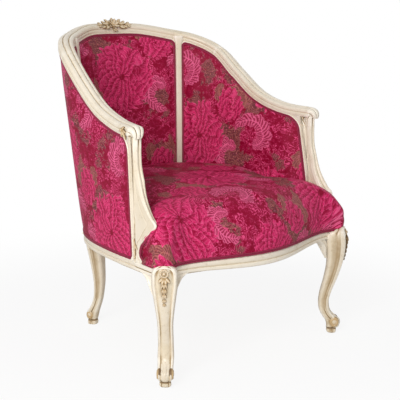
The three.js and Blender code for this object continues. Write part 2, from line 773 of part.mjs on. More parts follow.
// Hessian: tacked on the rails' top and carried up over the springs
function seatHessian() {
  const rim = frameOutline(rebateDepth + clearance);
  const crown = drawnOutline(wellInset + softGap);
  const inside = drawnOutline(wellInset + softGap + hessianThickness);
  const low = seatRailTop + clearance;
  return prism(rim, low, low + hessianThickness)
    .add(prism(crown, low, wellHeight - softGap))
    .subtract(prism(inside, low - overrun, wellHeight - softGap - hessianThickness));
}

const liningInset = rebateDepth + 2 * clearance;

// Jute webbing woven under the rails, and the lining that closes the seat from below
function seatWebbing() {
  const high = seatRailBase - clearance;
  const span = 2 * (seatHalfSpan + seatBackReach);
  const middle = high - webThickness / 2;
  let straps = null;
  spread(-webRowCount, webRowCount, 2 * webRowCount).forEach((row) => {
    const size = [span, webStrap, webThickness];
    const across = beam(vec(0, row * webPitch - webSetForward, middle), vec(1, 0, 0), vec(0, 1, 0), size);
    const along = beam(vec(row * webPitch, 0, middle), vec(0, 1, 0), vec(-1, 0, 0), size);
    straps = straps ? straps.add(across).add(along) : across.add(along);
  });
  return straps.intersect(prism(frameOutline(liningInset), middle - overrun, middle + overrun));
}

const liningTop = seatRailBase - webThickness - 2 * clearance;

function dustCover() {
  return prism(frameOutline(liningInset), liningTop - liningThickness, liningTop);
}

// Springs: waisted coils, drawn as their envelopes, lashed together at the top
const springFoot = seatRailBase;
const springTop = wellHeight - softGap - hessianThickness - clearance;
const springSideCount = 7;
const springShares = [[0, 0], [1, 0], [0.2, 0.3], [0.2, 0.7], [1, 1], [0, 1]];

function springUnit() {
  const height = springTop - springFoot;
  const profile = springShares.map(([r, z], i) => {
    const radius = i === 0 || i === springShares.length - 1 ? 0 : lerp(springWaist, springRadius, r);
    return new THREE.Vector2(radius, z * height);
  });
  const reach = ((springRowCount - 1) / 2) * springPitch;
  let unit = null;
  spread(-reach, reach, springRowCount - 1).forEach((x) => {
    spread(-reach, reach, springRowCount - 1).forEach((y) => {
      const coil = new THREE.LatheGeometry(profile, springSideCount).rotateX(Math.PI / 2)
        .translate(x, y - springSetForward, springFoot);
      unit = unit ? unit.add(toSolid(coil)) : toSolid(coil);
    });
  });
  const cord = [2 * reach, lashingSize, lashingSize];
  spread(-reach, reach, springRowCount - 1).forEach((step) => {
    const height = springTop - lashingSize / 2;
    const along = beam(vec(step, -springSetForward, height), vec(0, 1, 0), vec(-1, 0, 0), cord);
    const across = beam(vec(0, step - springSetForward, height), vec(1, 0, 0), vec(0, 1, 0), cord);
    unit = unit.add(along).add(across);
  });
  return unit;
}

// Glue blocks in the corners of the seat frame
function cornerBlock(kind, side) {
  const low = seatRailBase + (seatRailTop - seatRailBase - blockHeight) / 2;
  if (kind === 'front') {
    const inner = seatHalfSpan - seatRailThickness;
    const fore = cornerReach - seatRailThickness;
    const outline = [
      [inner - blockReach, -fore + blockDepth / 2], [inner - blockReach, -fore - blockDepth / 2],
      [inner + blockDepth / 2, -fore - blockDepth / 2], [inner + blockDepth / 2, -fore + blockReach],
      [inner - blockDepth / 2, -fore + blockReach],
    ].map(([x, y]) => new THREE.Vector2(side * x, y));
    return prism(outline, low, low + blockHeight);
  }
  const { place, along, outward } = onSeat(side * rearLegShare);
  const corner = (run, depth) => {
    const point = place.clone().addScaledVector(along, run).addScaledVector(outward, -depth);
    return new THREE.Vector2(point.x, point.y);
  };
  const back = seatRailThickness - blockDepth / 2;
  const front = rearLegInset + rearBlockSetback + rearBlockDepth / 2 + blockDepth / 2;
  const outline = [
    corner(-blockReach / 2, back), corner(blockReach / 2, back),
    corner(blockReach / 2, seatRailThickness + blockDepth / 2), corner(blockReach / 4, front),
    corner(-blockReach / 4, front), corner(-blockReach / 2, seatRailThickness + blockDepth / 2),
  ];
  return prism(outline, low, low + blockHeight);
}

// Carvings: petals and leaves are stretched balls, joined and seated on the wood
const petalSideCount = 6;
const petalRingCount = 4;

function petal(centre, direction, length, width, height) {
  const ball = new THREE.SphereGeometry(0.5, petalSideCount, petalRingCount).scale(length, width, height);
  const along = direction.clone().normalize();
  const flat = vec(0, 0, 1).cross(along);
  const side = flat.lengthSq() > 0 ? flat.normalize() : vec(1, 0, 0);
  const turn = new THREE.Matrix4().makeBasis(along, side, along.clone().cross(side));
  return toSolid(ball.applyMatrix4(turn.setPosition(centre)));
}

const flowerPetalCount = 6;
const flowerLeafCount = 3;

function crestFlower() {
  const { place, outward } = onRail(0);
  const heart = place.clone().addScaledVector(outward, -railWidth / 2)
    .add(vec(0, 0, railDepth / 3));
  let flower = petal(heart, vec(0, 1, 0), flowerRise, flowerRise, flowerRise);
  for (let i = 0; i < flowerPetalCount; i += 1) {
    const angle = (i / flowerPetalCount) * 2 * Math.PI;
    const out = vec(Math.cos(angle), 0, Math.sin(angle));
    const centre = heart.clone().addScaledVector(out, flowerRise / 2);
    flower = flower.add(petal(centre, out, flowerRise * 0.8, flowerRise * 0.7, flowerRise * 0.6));
  }
  [-1, 1].forEach((side) => {
    for (let i = 1; i <= flowerLeafCount; i += 1) {
      const reach = (i / flowerLeafCount) * (flowerSpan / 2 - flowerRise / 2);
      const rise = Math.abs(reach) < flowerSpan / 4 ? flowerRise / 4 : 0;
      const centre = heart.clone().add(vec(side * reach, 0, rise - flowerRise / 4));
      const size = flowerRise * lerp(1, 0.5, i / flowerLeafCount);
      flower = flower.add(petal(centre, vec(side, 0, -0.15), flowerRise * 1.1, flowerRise * 0.9, size));
    }
  });
  return flower;
}

// Rosette at the knee with a chain of husks below it
function kneeCarving(side) {
  const base = legBase('front', side);
  const at = (height) => base.place.clone()
    .addScaledVector(base.outward, legFace('front', side, height) - carvingSink).setZ(height);
  const top = seatRailBase + showHeight;
  let carving = petal(at(top), vec(0, 0, 1), kneeRosette * 2, kneeRosette * 2, kneeRosette);
  for (let i = 0; i < huskCount; i += 1) {
    const share = i / huskCount;
    const length = huskLength * lerp(1.15, 0.8, share);
    const height = top - kneeRosette - (i + 0.25) * huskLength * huskStepShare;
    const width = kneeRosette * lerp(1.2, 0.65, share);
    carving = carving.add(petal(at(height), vec(0, 0, 1), length, width, kneeRosette * 0.7));
  }
  return carving;
}

// A tenon: joined to one piece and cut, with its clearance, out of the other. It lies along
// one direction and is broad along another.
function joint(from, into, centre, along, broad) {
  const peg = (grow) => beam(centre, along, broad, [
    tenonLength + 2 * grow, tenonWidth + 2 * grow, tenonThickness + 2 * grow,
  ]);
  solids.set(from, solids.get(from).add(peg(0)));
  solids.set(into, solids.get(into).subtract(peg(clearance)));
}

// Cuts a piece by grown copies of its neighbours.
function fit(solid, cutters) {
  return cutters.reduce((rest, cutter) => rest.subtract(cutter), solid);
}

const sides = [['left', -1], ['right', 1]];
const grown = {
  crest: crestRail(clearance),
  arms: sides.map(([, side]) => armRail(side, clearance)),
  posts: sides.map(([, side]) => armPost(side, clearance)),
  frontLegs: sides.map(([, side]) => leg('front', side, clearance)),
  rearLegs: sides.map(([, side]) => leg('rear', side, clearance)),
  stiles: sides.map(([, side]) => backStile(side, clearance)),
  frontRail: frontSeatRail(clearance),
  sideRails: sides.map(([, side]) => sideSeatRail(side, clearance)),
  rearRail: rearSeatRail(clearance),
  softPosts: sides.map(([, side]) => armPost(side, softGap)),
  softStiles: sides.map(([, side]) => backStile(side, softGap)),
  softLegs: sides.map(([, side]) => leg('rear', side, softGap)),
};
const allLegs = [...grown.frontLegs, ...grown.rearLegs];

solids.set('crest_rail', crestRail(0));
solids.set('front_seat_rail', fit(frontSeatRail(0), grown.frontLegs));
solids.set('rear_seat_rail', fit(rearSeatRail(0), grown.rearLegs));
sides.forEach(([word, side], i) => {
  solids.set(`arm_rail_${word}`, armRail(side, 0));
  solids.set(`front_leg_${word}`, leg('front', side, 0));
  solids.set(`rear_leg_${word}`, leg('rear', side, 0));
  solids.set(`side_seat_rail_${word}`, fit(sideSeatRail(side, 0), allLegs));
  const underPosts = prism(frameOutline(rebateDepth - clearance), postFoot - overrun, seatRailTop + clearance);
  solids.set(`arm_post_${word}`, fit(armPost(side, 0), [grown.arms[i], grown.sideRails[i], underPosts, ...allLegs]));
  solids.set(`back_stile_${word}`, fit(backStile(side, 0), [grown.crest]));
  const rails = [grown.frontRail, grown.rearRail, ...grown.sideRails, ...allLegs];
  solids.set(`front_corner_block_${word}`, fit(cornerBlock('front', side), rails));
  solids.set(`rear_corner_block_${word}`, fit(cornerBlock('rear', side), rails));
  const frame = [grown.softPosts[i], grown.softStiles[i], grown.arms[i], grown.crest];
  solids.set(`inside_side_pad_${word}`, fit(insidePad(word), frame));
  solids.set(`side_hessian_${word}`, fit(insideHessian(word), frame));
  solids.set(`outer_side_cover_${word}`, fit(outerCover(word), [grown.softPosts[i]]));
  solids.set(`knee_carving_${word}`, fit(kneeCarving(side), [grown.frontLegs[i]]));
});
solids.set('inside_back_pad', fit(insidePad('centre'), grown.softStiles));
solids.set('back_hessian', fit(insideHessian('centre'), grown.softStiles));
solids.set('outer_back_cover', fit(outerCover('centre'), grown.softLegs));
solids.set('crest_flower', fit(crestFlower(), [grown.crest]));
const knees = sides.map(([, side]) => (
  legShaft('front', side, softGap).trimByPlane([0, 0, 1], seatFoot - overrun).hull()
    .add(legHead('front', side, softGap))
));
solids.set('seat_pad', fit(seatPad(), [seatHollow(), ...grown.softPosts, ...knees]));
solids.set('seat_hessian', fit(seatHessian(), [...grown.posts, ...grown.stiles]));
solids.set('spring_unit', springUnit());
solids.set('seat_webbing', fit(seatWebbing(), allLegs));
solids.set('dust_cover', fit(dustCover(), allLegs));

const upward = vec(0, 0, 1);
sides.forEach(([word, side]) => {
  const sideRail = `side_seat_rail_${word}`;
  const middle = seatRailBase + showHeight / 2;
  const onRun = ({ place, outward }) => place.clone().addScaledVector(outward, -seatRailThickness / 2);

  const frontX = side * (frontLegSpan - kneeWidth / 2);
  const frontRun = { place: frontFace(frontX), outward: frontNormal(frontX) };
  joint('front_seat_rail', `front_leg_${word}`, onRun(frontRun).setZ(middle), vec(1, 0, 0), upward);
  const sideRun = onSeat(side * (sideRailEnd - kneeWidth / 2 / knuckleReach));
  joint(sideRail, `front_leg_${word}`, onRun(sideRun).setZ(middle), sideRun.along, upward);

  const rearHalf = side * (rearLegSize / 2 / halfRun);
  const rearTenons = [['rear_seat_rail', -1], [sideRail, 1]];
  rearTenons.forEach(([rail, way]) => {
    const run = onSeat(side * rearLegShare + way * rearHalf);
    joint(rail, `rear_leg_${word}`, onRun(run).setZ(middle), run.along, upward);
  });

  const stileRun = onSeat(side * stileFootShare);
  const stileFoot = onRun(stileRun).addScaledVector(stileRun.outward, -rebateDepth / 2);
  joint(`back_stile_${word}`, sideRail, stileFoot.setZ(seatRailTop), upward, stileRun.along);
  const crestRun = onRail(side * stileShare);
  const stileHead = crestRun.place.clone().addScaledVector(crestRun.outward, -railWidth / 8);
  joint(`back_stile_${word}`, 'crest_rail', stileHead.setZ(railUnderside(side * stileShare)), upward, stileRun.along);

  const postRun = onSeat(side);
  const postHeel = onRun(postRun).addScaledVector(postRun.outward, -rebateDepth / 2);
  joint(`arm_post_${word}`, sideRail, postHeel.setZ(seatRailTop), upward, postRun.along);
  const armRun = onRail(side);
  const postHead = armRun.place.clone().addScaledVector(armRun.along, -side * knuckleBendRadius / 2);
  joint(`arm_post_${word}`, `arm_rail_${word}`, postHead.setZ(postTop), upward, postRun.along);

  const shoulder = onRail(side * shoulderShare);
  joint(`arm_rail_${word}`, 'crest_rail', shoulder.place, shoulder.along, shoulder.outward);
});

const finishes = [
  [/flower|carving/, gilding],
  [/pad|cover/, damask],
  [/hessian|webbing|dust/, linen],
  [/block/, beech],
  [/spring/, steel],
  [/rail|leg|post|stile/, paint],
];

[...solids.keys()].sort().forEach((name) => {
  const [, finish] = finishes.find(([pattern]) => pattern.test(name));
  const mesh = new THREE.Mesh(toGeometry(solids.get(name)), new THREE.MeshStandardMaterial(finish));
  mesh.name = name;
  chair.add(mesh);
});

// The origin lies on the floor under the middle of the chair's box.
const box = new THREE.Box3().setFromObject(chair);
chair.position.y = -(box.min.y + box.max.y) / 2;
chair.updateMatrixWorld(true);

export default chair;
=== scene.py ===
"""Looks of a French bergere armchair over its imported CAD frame.

Every piece repeats the chair's own guiding paths and sizes, in metres, and is worked out as
whole numpy arrays: a moulding is a section carried along a path, and an upholstered wall hangs
between the path of the top rail and the path of the seat frame.
"""
from __future__ import annotations

import json
import logging
import math
from collections.abc import Callable, Sequence
from dataclasses import dataclass, field
from enum import Enum

import bpy
import numpy as np
from mathutils import Matrix, Vector

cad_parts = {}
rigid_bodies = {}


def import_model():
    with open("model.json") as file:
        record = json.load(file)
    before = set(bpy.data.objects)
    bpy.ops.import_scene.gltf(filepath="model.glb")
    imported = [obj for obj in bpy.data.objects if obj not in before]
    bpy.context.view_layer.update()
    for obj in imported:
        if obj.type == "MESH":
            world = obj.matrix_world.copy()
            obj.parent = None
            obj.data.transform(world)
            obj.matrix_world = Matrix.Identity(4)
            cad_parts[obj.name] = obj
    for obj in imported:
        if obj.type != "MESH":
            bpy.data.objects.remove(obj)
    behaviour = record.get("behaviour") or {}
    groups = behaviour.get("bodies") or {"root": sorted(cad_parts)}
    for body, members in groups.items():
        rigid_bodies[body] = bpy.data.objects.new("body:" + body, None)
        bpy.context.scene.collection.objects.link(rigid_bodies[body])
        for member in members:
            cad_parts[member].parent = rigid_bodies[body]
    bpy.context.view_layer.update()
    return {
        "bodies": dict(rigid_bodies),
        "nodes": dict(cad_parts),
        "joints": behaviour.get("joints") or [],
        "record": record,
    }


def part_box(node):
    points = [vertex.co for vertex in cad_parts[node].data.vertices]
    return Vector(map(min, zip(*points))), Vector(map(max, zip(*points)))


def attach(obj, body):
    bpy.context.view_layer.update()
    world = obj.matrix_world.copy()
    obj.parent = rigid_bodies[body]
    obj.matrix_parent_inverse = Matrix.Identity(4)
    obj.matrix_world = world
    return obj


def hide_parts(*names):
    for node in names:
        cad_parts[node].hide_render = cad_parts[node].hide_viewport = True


log = logging.getLogger("bergere")
Array = np.ndarray
Colour = tuple[float, float, float, float]
SIDES = (("left", -1), ("right", 1))
UP = np.array([0, 0, 1.0])
# A direction that no cord or rod of the chair follows, to stand their sections up by.
SKEW = np.array([0.13, 0.29, 0.95])
# Places worked out on each span of a curve before they are spaced evenly.
DENSE = 24


# Plain arithmetic on arrays


def unit(vectors: Array) -> Array:
    """Vectors scaled to length 1, row by row."""
    length = np.linalg.norm(vectors, axis=-1, keepdims=True)
    return vectors / np.maximum(length, 1e-12)


def mix(low: Array | float, high: Array | float, share: Array | float) -> Array:
    """The value a share of the way from low to high."""
    return low + (high - low) * share


def smooth(value: Array | float, low: float, high: float) -> Array:
    """0 below low, 1 above high, and 3t^2 - 2t^3 between them."""
    t = np.clip((np.asarray(value, float) - low) / (high - low), 0, 1)
    return t * t * (3 - 2 * t)


def around(first: Array, second: Array, turn: Array | float) -> Array:
    """The first direction turned by an angle towards the second, which stands square to it."""
    return first * np.cos(turn) + second * np.sin(turn)


def facing(vectors: Array, wanted: Array) -> Array:
    """Vectors turned about where they point away from a wanted direction, row by row."""
    return vectors * np.sign(np.sum(vectors * wanted, axis=-1, keepdims=True))


def reach_along(points: Array) -> Array:
    """Length run along a line from its first point to each point."""
    return np.concatenate([[0], np.cumsum(np.linalg.norm(np.diff(points, axis=0), axis=1))])


def spaced(points: Array, count: int, endpoint: bool = True) -> Array:
    """Points spaced evenly by length on a dense line, the last of them on its end if asked."""
    reach = reach_along(points)
    wanted = np.linspace(0, reach[-1], count, endpoint=endpoint)
    return np.stack([np.interp(wanted, reach, part) for part in points.T], axis=1)


def directions(path: Array, closed: bool = False) -> Array:
    """Unit directions along a line of points, which may close on itself."""
    if closed:
        return unit(np.roll(path, -1, axis=0) - np.roll(path, 1, axis=0))
    return unit(np.gradient(path, axis=0))


def ring_turns(count: int) -> Array:
    """Angles spaced evenly round a circle."""
    return np.linspace(0, 2 * np.pi, count, endpoint=False)


class Curve:
    """A smooth open path through points of any dimension: a centripetal Catmull-Rom curve.

    Between two points the curve is a cubic whose end slopes come from the neighbours, weighted
    by the square roots of the distances between the points.
    """

    SHORTEST = 1e-4

    def __init__(self, points: Sequence[Sequence[float]] | Array) -> None:
        given = np.asarray(points, float)
        first = 2 * given[0] - given[1]
        last = 2 * given[-1] - given[-2]
        self.points = np.vstack([first, given, last])
        self.spans = len(given) - 1

    def at(self, share: Array | float) -> Array:
        """Places at shares from 0 to 1 of the number of spans."""
        run = np.clip(np.atleast_1d(share), 0, 1) * self.spans
        index = np.minimum(run.astype(int), self.spans - 1)
        w = (run - index)[:, None]
        a, b, c, d = (self.points[index + k] for k in range(4))
        pairs = ((a, b), (b, c), (c, d))
        ab, bc, cd = (np.sqrt(np.linalg.norm(q - p, axis=1, keepdims=True)) for p, q in pairs)
        bc = np.where(bc < self.SHORTEST, 1, bc)
        ab = np.where(ab < self.SHORTEST, bc, ab)
        cd = np.where(cd < self.SHORTEST, bc, cd)
        start = ((b - a) / ab - (c - a) / (ab + bc) + (c - b) / bc) * bc
        end = ((c - b) / bc - (d - b) / (bc + cd) + (d - c) / cd) * bc
        return b + start * w + (3 * (c - b) - 2 * start - end) * w**2 + (2 * (b - c) + start + end) * w**3

    def slope(self, share: Array | float) -> Array:
        """Unit directions at the same shares, from differences."""
        step = 1e-4
        middle = np.atleast_1d(share)
        return unit(self.at(np.minimum(middle + step, 1)) - self.at(np.maximum(middle - step, 0)))

    def even(self, count: int) -> Array:
        """Points spaced evenly by length."""
        return spaced(self.at(np.linspace(0, 1, DENSE * self.spans + 1)), count)


def closed_section(corners: Sequence[Sequence[float]], count: int) -> Array:
    """A closed outline smoothed through its corners and spaced evenly by length."""
    ring = np.asarray(corners, float)
    curve = Curve(np.vstack([ring[-2:], ring, ring[:2]]))
    share = np.linspace(2, 2 + len(ring), DENSE * len(ring) + 1) / curve.spans
    return spaced(curve.at(share), count, False)


def symmetric(half: Sequence[Sequence[float]], first: int) -> Array:
    """Corners of an outline that is its own mirror image.

    Args:
        half: The corners from one point of the middle line to the other, on the right side.
        first: Place in the whole outline of the corner that it starts with.

    Returns:
        The corners right round.
    """
    right = np.asarray(half, float)
    return np.roll(np.vstack([right, right[-2:0:-1] * [-1, 1]]), -first, axis=0)


@dataclass
class Skin:
    """Points and faces of a piece while it is being made, with its cloth coordinates.

    Its tone says how dark the finish paints each point, from -1 on top of the carving to 1 at the bottom:
    a painted highlight on top, glaze and painted shade in the depths, and painted shade on the legs' flanks.
    """

    points: Array
    quads: Array
    tris: Array = field(default_factory=lambda: np.zeros((0, 3), int))
    cloth: Array | None = None
    tone: Array | None = None

    def toned(self, tone: float) -> Skin:
        """This skin with all of it at one depth of the carving."""
        self.tone = np.full(len(self.points), tone)
        return self

    def outward(self) -> Skin:
        """The same skin with its faces turned outwards, judged by the sign of its volume."""
        a, b, c, d = (self.points[self.quads[:, k]] for k in range(4))
        volume = np.sum(a * np.cross(b, c)) + np.sum(a * np.cross(c, d))
        e, f, g = (self.points[self.tris[:, k]] for k in range(3))
        volume += np.sum(e * np.cross(f, g))
        if volume < 0:
            return Skin(self.points, self.quads[:, ::-1], self.tris[:, ::-1], self.cloth, self.tone)
        return self


def join(skins: Sequence[Skin]) -> Skin:
    """Several skins as one, each turned outwards first."""
    turned = [skin.outward() for skin in skins]
    starts = np.cumsum([0] + [len(skin.points) for skin in turned])
    quads = np.vstack([skin.quads + start for skin, start in zip(turned, starts)])
    tris = np.vstack([skin.tris + start for skin, start in zip(turned, starts)])
    tones = [np.zeros(len(skin.points)) if skin.tone is None else skin.tone for skin in turned]
    tone = np.concatenate(tones)
    return Skin(np.vstack([skin.points for skin in turned]), quads, tris, None, tone)


def lattice(rows: int, columns: int, round_rows: bool = False) -> Array:
    """Faces of a grid whose columns close on themselves, and its rows too if asked."""
    i = np.arange(rows if round_rows else rows - 1)[:, None]
    j = np.arange(columns)[None, :]
    after = (j + 1) % columns
    below = (i + 1) % rows
    corners = [i * columns + j, i * columns + after, below * columns + after, below * columns + j]
    return np.stack(np.broadcast_arrays(*corners), axis=-1).reshape(-1, 4)


def tube(grid: Array, round_rows: bool = False) -> Skin:
    """A skin over rings of points, closed at both ends by a fan round the ring's middle.

    Args:
        grid: Rings by points by 3.
        round_rows: The last ring joins the first, so there are no ends.

    Returns:
        The closed skin.
    """
    rows, columns, _ = grid.shape
    points = grid.reshape(-1, 3)
    quads = lattice(rows, columns, round_rows)
    if round_rows:
        return Skin(points, quads).outward()
    ends = np.stack([grid[0].mean(0), grid[-1].mean(0)])
    first = len(points)
    j = np.arange(columns)
    after = (j + 1) % columns
    low = np.stack([np.full(columns, first), after, j], axis=1)
    last = (rows - 1) * columns
    high = np.stack([np.full(columns, first + 1), last + j, last + after], axis=1)
    return Skin(np.vstack([points, ends]), quads, np.vstack([low, high])).outward()


def carried(section: Array, place: Array, across: Array, up: Array,
            scale: Array | float = 1) -> Array:
    """A flat section carried along places: place + across * x * scale + up * y * scale.

    Args:
        section: Its corners, x and y in each row.
        place: Where it stands, one row for each ring.
        across: Direction of x at each place.
        up: Direction of y at each place.
        scale: Size of the section, one for all places or one for each.

    Returns:
        Rings by corners by 3.
    """
    size = np.broadcast_to(np.asarray(scale, float), (len(place),))[:, None, None]
    flat = np.broadcast_to(section, (len(place), *section.shape[-2:])) * size
    return place[:, None] + across[:, None] * flat[..., :1] + up[:, None] * flat[..., 1:]


# Guiding paths of the chair


@dataclass(frozen=True)
class Guide:
    """The chair's two guiding paths and the sizes that several pieces share, in metres.

    A share of 0 is the middle of the back and a share of 1 or -1 is a knuckle. The top rail's
    path lies over the seat frame's path at each share, and the walls hang between them.
    """

    seat_half_span: float = 0.332
    seat_back_reach: float = 0.258
    knuckle_reach: float = 0.205
    corner_reach: float = 0.308
    rail_half_span: float = 0.326
    back_reach: float = 0.311
    crest_height: float = 0.862
    knuckle_height: float = 0.631
    rail_width: float = 0.042
    rail_depth: float = 0.029
    shoulder: float = 0.5
    seat_rail_base: float = 0.281
    show_height: float = 0.024
    front_bulge: float = 0.058
    front_drop: float = 0.008
    rail_thickness: float = 0.034
    rebate_depth: float = 0.010
    rebate_height: float = 0.028
    front_leg_span: float = 0.317
    front_leg_reach: float = 0.303
    knee_width: float = 0.066
    stile: float = 0.295
    stile_foot: float = 0.308
    rail_shares: tuple = (
        (0, 1, 1), (0.294, 0.972, 0.992), (0.543, 0.885, 0.926), (0.737, 0.78, 0.852),
        (0.848, 0.653, 0.715), (0.886, 0.504, 0.44), (0.908, 0.339, 0.172), (0.942, 0.169, 0.042),
        (1, 0, 0),
    )
    seat_shares: tuple = (
        (0, 1), (0.271, 0.983), (0.497, 0.922), (0.63, 0.816),
        (0.75, 0.695), (0.845, 0.549), (0.915, 0.37), (0.965, 0.184), (1, 0),
    )

    @property
    def show_top(self) -> float:
        """Height of the top of the moulded part of the seat rails."""
        return self.seat_rail_base + self.show_height

    @property
    def rail_top(self) -> float:
        """Height of the top of the seat rails."""
        return self.show_top + self.rebate_height

    @property
    def side_end(self) -> float:
        """Share of the seat path over the middle of the front leg."""
        return self.front_leg_reach / self.knuckle_reach

    @property
    def half_run(self) -> float:
        """Half the length of the seat frame's path, in metres."""
        return float(reach_along(self.seat_curve().at(np.linspace(0, 1, 2001)))[-1] / 2)

    def _mirrored(self, half: Array) -> Curve:
        """The curve through a half path and its mirror image."""
        return Curve(np.vstack([(half * [-1, 1, 1])[:0:-1], half]))

    def rail_curve(self) -> Curve:
        """Middle line of the top rail."""
        x, y, z = np.array(self.rail_shares, float).T
        return self._mirrored(np.stack([
            x * self.rail_half_span,
            mix(-self.knuckle_reach, self.back_reach, y),
            mix(self.knuckle_height, self.crest_height, z),
        ], axis=1))

    def seat_curve(self) -> Curve:
        """Outer face of the seat frame in plan."""
        x, y = np.array(self.seat_shares, float).T
        return self._mirrored(np.stack([
            x * self.seat_half_span,
            mix(-self.knuckle_reach, self.seat_back_reach, y),
            np.zeros(len(x)),
        ], axis=1))

    def _on(self, curve: Curve, share: Array) -> tuple[Array, Array, Array, Array]:
        """Place, direction, outward and up at shares; past its ends a path runs on straight."""
        share = np.atleast_1d(np.asarray(share, float))
        held = np.clip(share, -1, 1)
        along = curve.slope((held + 1) / 2)
        place = curve.at((held + 1) / 2) + along * ((share - held) * self.knuckle_reach)[:, None]
        flat = np.stack([-along[:, 1], along[:, 0], np.zeros(len(along))], axis=1)
        outward = unit(flat)
        return place, along, outward, unit(-np.cross(outward, along))

    def rail(self, share: Array) -> tuple[Array, Array, Array, Array]:
        """Place, direction, outward and up on the top rail."""
        return self._on(self.rail_curve(), share)

    def seat(self, share: Array) -> tuple[Array, Array, Array, Array]:
        """Place, direction, outward and up on the seat frame."""
        return self._on(self.seat_curve(), share)

    def underside(self, share: Array) -> Array:
        """Height of the top rail's underside."""
        place, _, _, up = self.rail(share)
        return place[:, 2] - self.rail_depth / 2 / np.abs(up[:, 2])

    def wall(self, share: Array, height: Array, foot_inset: float, top_inset: float) -> Array:
        """Places on the ruled wall: straight lines from the seat frame to the top rail.

        Args:
            share: Shares of the path, one for each place.
            height: Heights above the floor.
            foot_inset: How far inside the seat frame's outer face the line starts.
            top_inset: How far inside the top rail's outer edge it ends.

        Returns:
            The places, one row each.
        """
        low, _, low_out, _ = self.seat(share)
        high, _, high_out, _ = self.rail(share)
        start = low - low_out * foot_inset
        start[:, 2] = self.show_top
        end = high + high_out * (self.rail_width / 2 - top_inset)
        height = np.broadcast_to(np.asarray(height, float), (len(start),))
        t = (height - start[:, 2]) / (end[:, 2] - start[:, 2])
        place = mix(start, end, t[:, None])
        place[:, 2] = height
        return place

    def stile_at(self, rise: Array) -> Array:
        """Share of the path at which a back stile stands, from its foot to its head."""
        return mix(self.stile_foot, self.stile, rise)

    def bump(self, x: Array) -> Array:
        """Swell of the front rail, 1 in its middle and 0 at the legs: half of 1 + cos."""
        reach = np.minimum(1, np.abs(x) / (self.front_leg_span - self.knee_width / 4))
        return (1 + np.cos(np.pi * reach)) / 2

    def front(self, x: Array) -> tuple[Array, Array]:
        """Place and outward direction on the outer face of the front rail."""
        x = np.asarray(x, float)
        level = np.zeros_like(x)
        place = np.stack([x, -self.corner_reach - self.front_bulge * self.bump(x), level], axis=1)
        step = self.rail_thickness / 4
        rise = self.front_bulge * (self.bump(x + step) - self.bump(x - step)) / (2 * step)
        return place, unit(np.stack([-rise, level - 1, level], axis=1))


# Arithmetic on shader sockets


class Field:
    """A value on its way through a material's nodes, with ordinary arithmetic."""

    def __init__(self, paint: Paintbox, socket: bpy.types.NodeSocket) -> None:
        self.paint = paint
        self.socket = socket

    def _math(self, operation: str, *others: Field | float) -> Field:
        """One Math node on this value and the others."""
        values = dict(enumerate((self, *others)))
        return self.paint.node("ShaderNodeMath", {"operation": operation}, values)

    def __add__(self, other: Field | float) -> Field:
        """Sum."""
        return self._math("ADD", other)

    __radd__ = __add__

    def __sub__(self, other: Field | float) -> Field:
        """Difference."""
        return self._math("SUBTRACT", other)

    def __rsub__(self, other: float) -> Field:
        """Difference from a number."""
        return self.paint.node("ShaderNodeMath", {"operation": "SUBTRACT"}, {0: other, 1: self})

    def __mul__(self, other: Field | float) -> Field:
        """Product."""
        return self._math("MULTIPLY", other)

    __rmul__ = __mul__

    def __truediv__(self, other: Field | float) -> Field:
        """Quotient."""
        return self._math("DIVIDE", other)

    def __pow__(self, other: Field | float) -> Field:
        """Power."""
        return self._math("POWER", other)

    def wrap(self, half: float) -> Field:
        """The value folded into the range from -half to half."""
        return self._math("WRAP", half, -half)

    def least(self, other: Field | float) -> Field:
        """The smaller of two values."""
        return self._math("MINIMUM", other)

    def most(self, other: Field | float) -> Field:
        """The larger of two values."""
        return self._math("MAXIMUM", other)

    def size(self) -> Field:
        """Absolute value."""
        return self._math("ABSOLUTE")

    def angle(self, across: Field) -> Field:
        """Angle of the direction whose parts are across and this value."""
        return self._math("ARCTAN2", across)

    def lines(self, low: float, high: float) -> Field:
        """Lines where the sine of the value is high: a smooth step over (1 + sin) / 2."""
        return (self.sine() * 0.5 + 0.5).step(low, high)

    def sine(self) -> Field:
        """Sine."""
        return self._math("SINE")

    def floor(self) -> Field:
        """Whole part."""
        return self._math("FLOOR")

    def fold(self) -> Field:
        """The value folded back and forth between 0 and a half."""
        return self._math("PINGPONG", 0.5)

    def step(self, low: float, high: float) -> Field:
        """A smooth step from 0 at low to 1 at high."""
        settings = {"interpolation_type": "SMOOTHSTEP"}
        values = {"Value": self, "From Min": low, "From Max": high}
        return self.paint.node("ShaderNodeMapRange", settings, values)


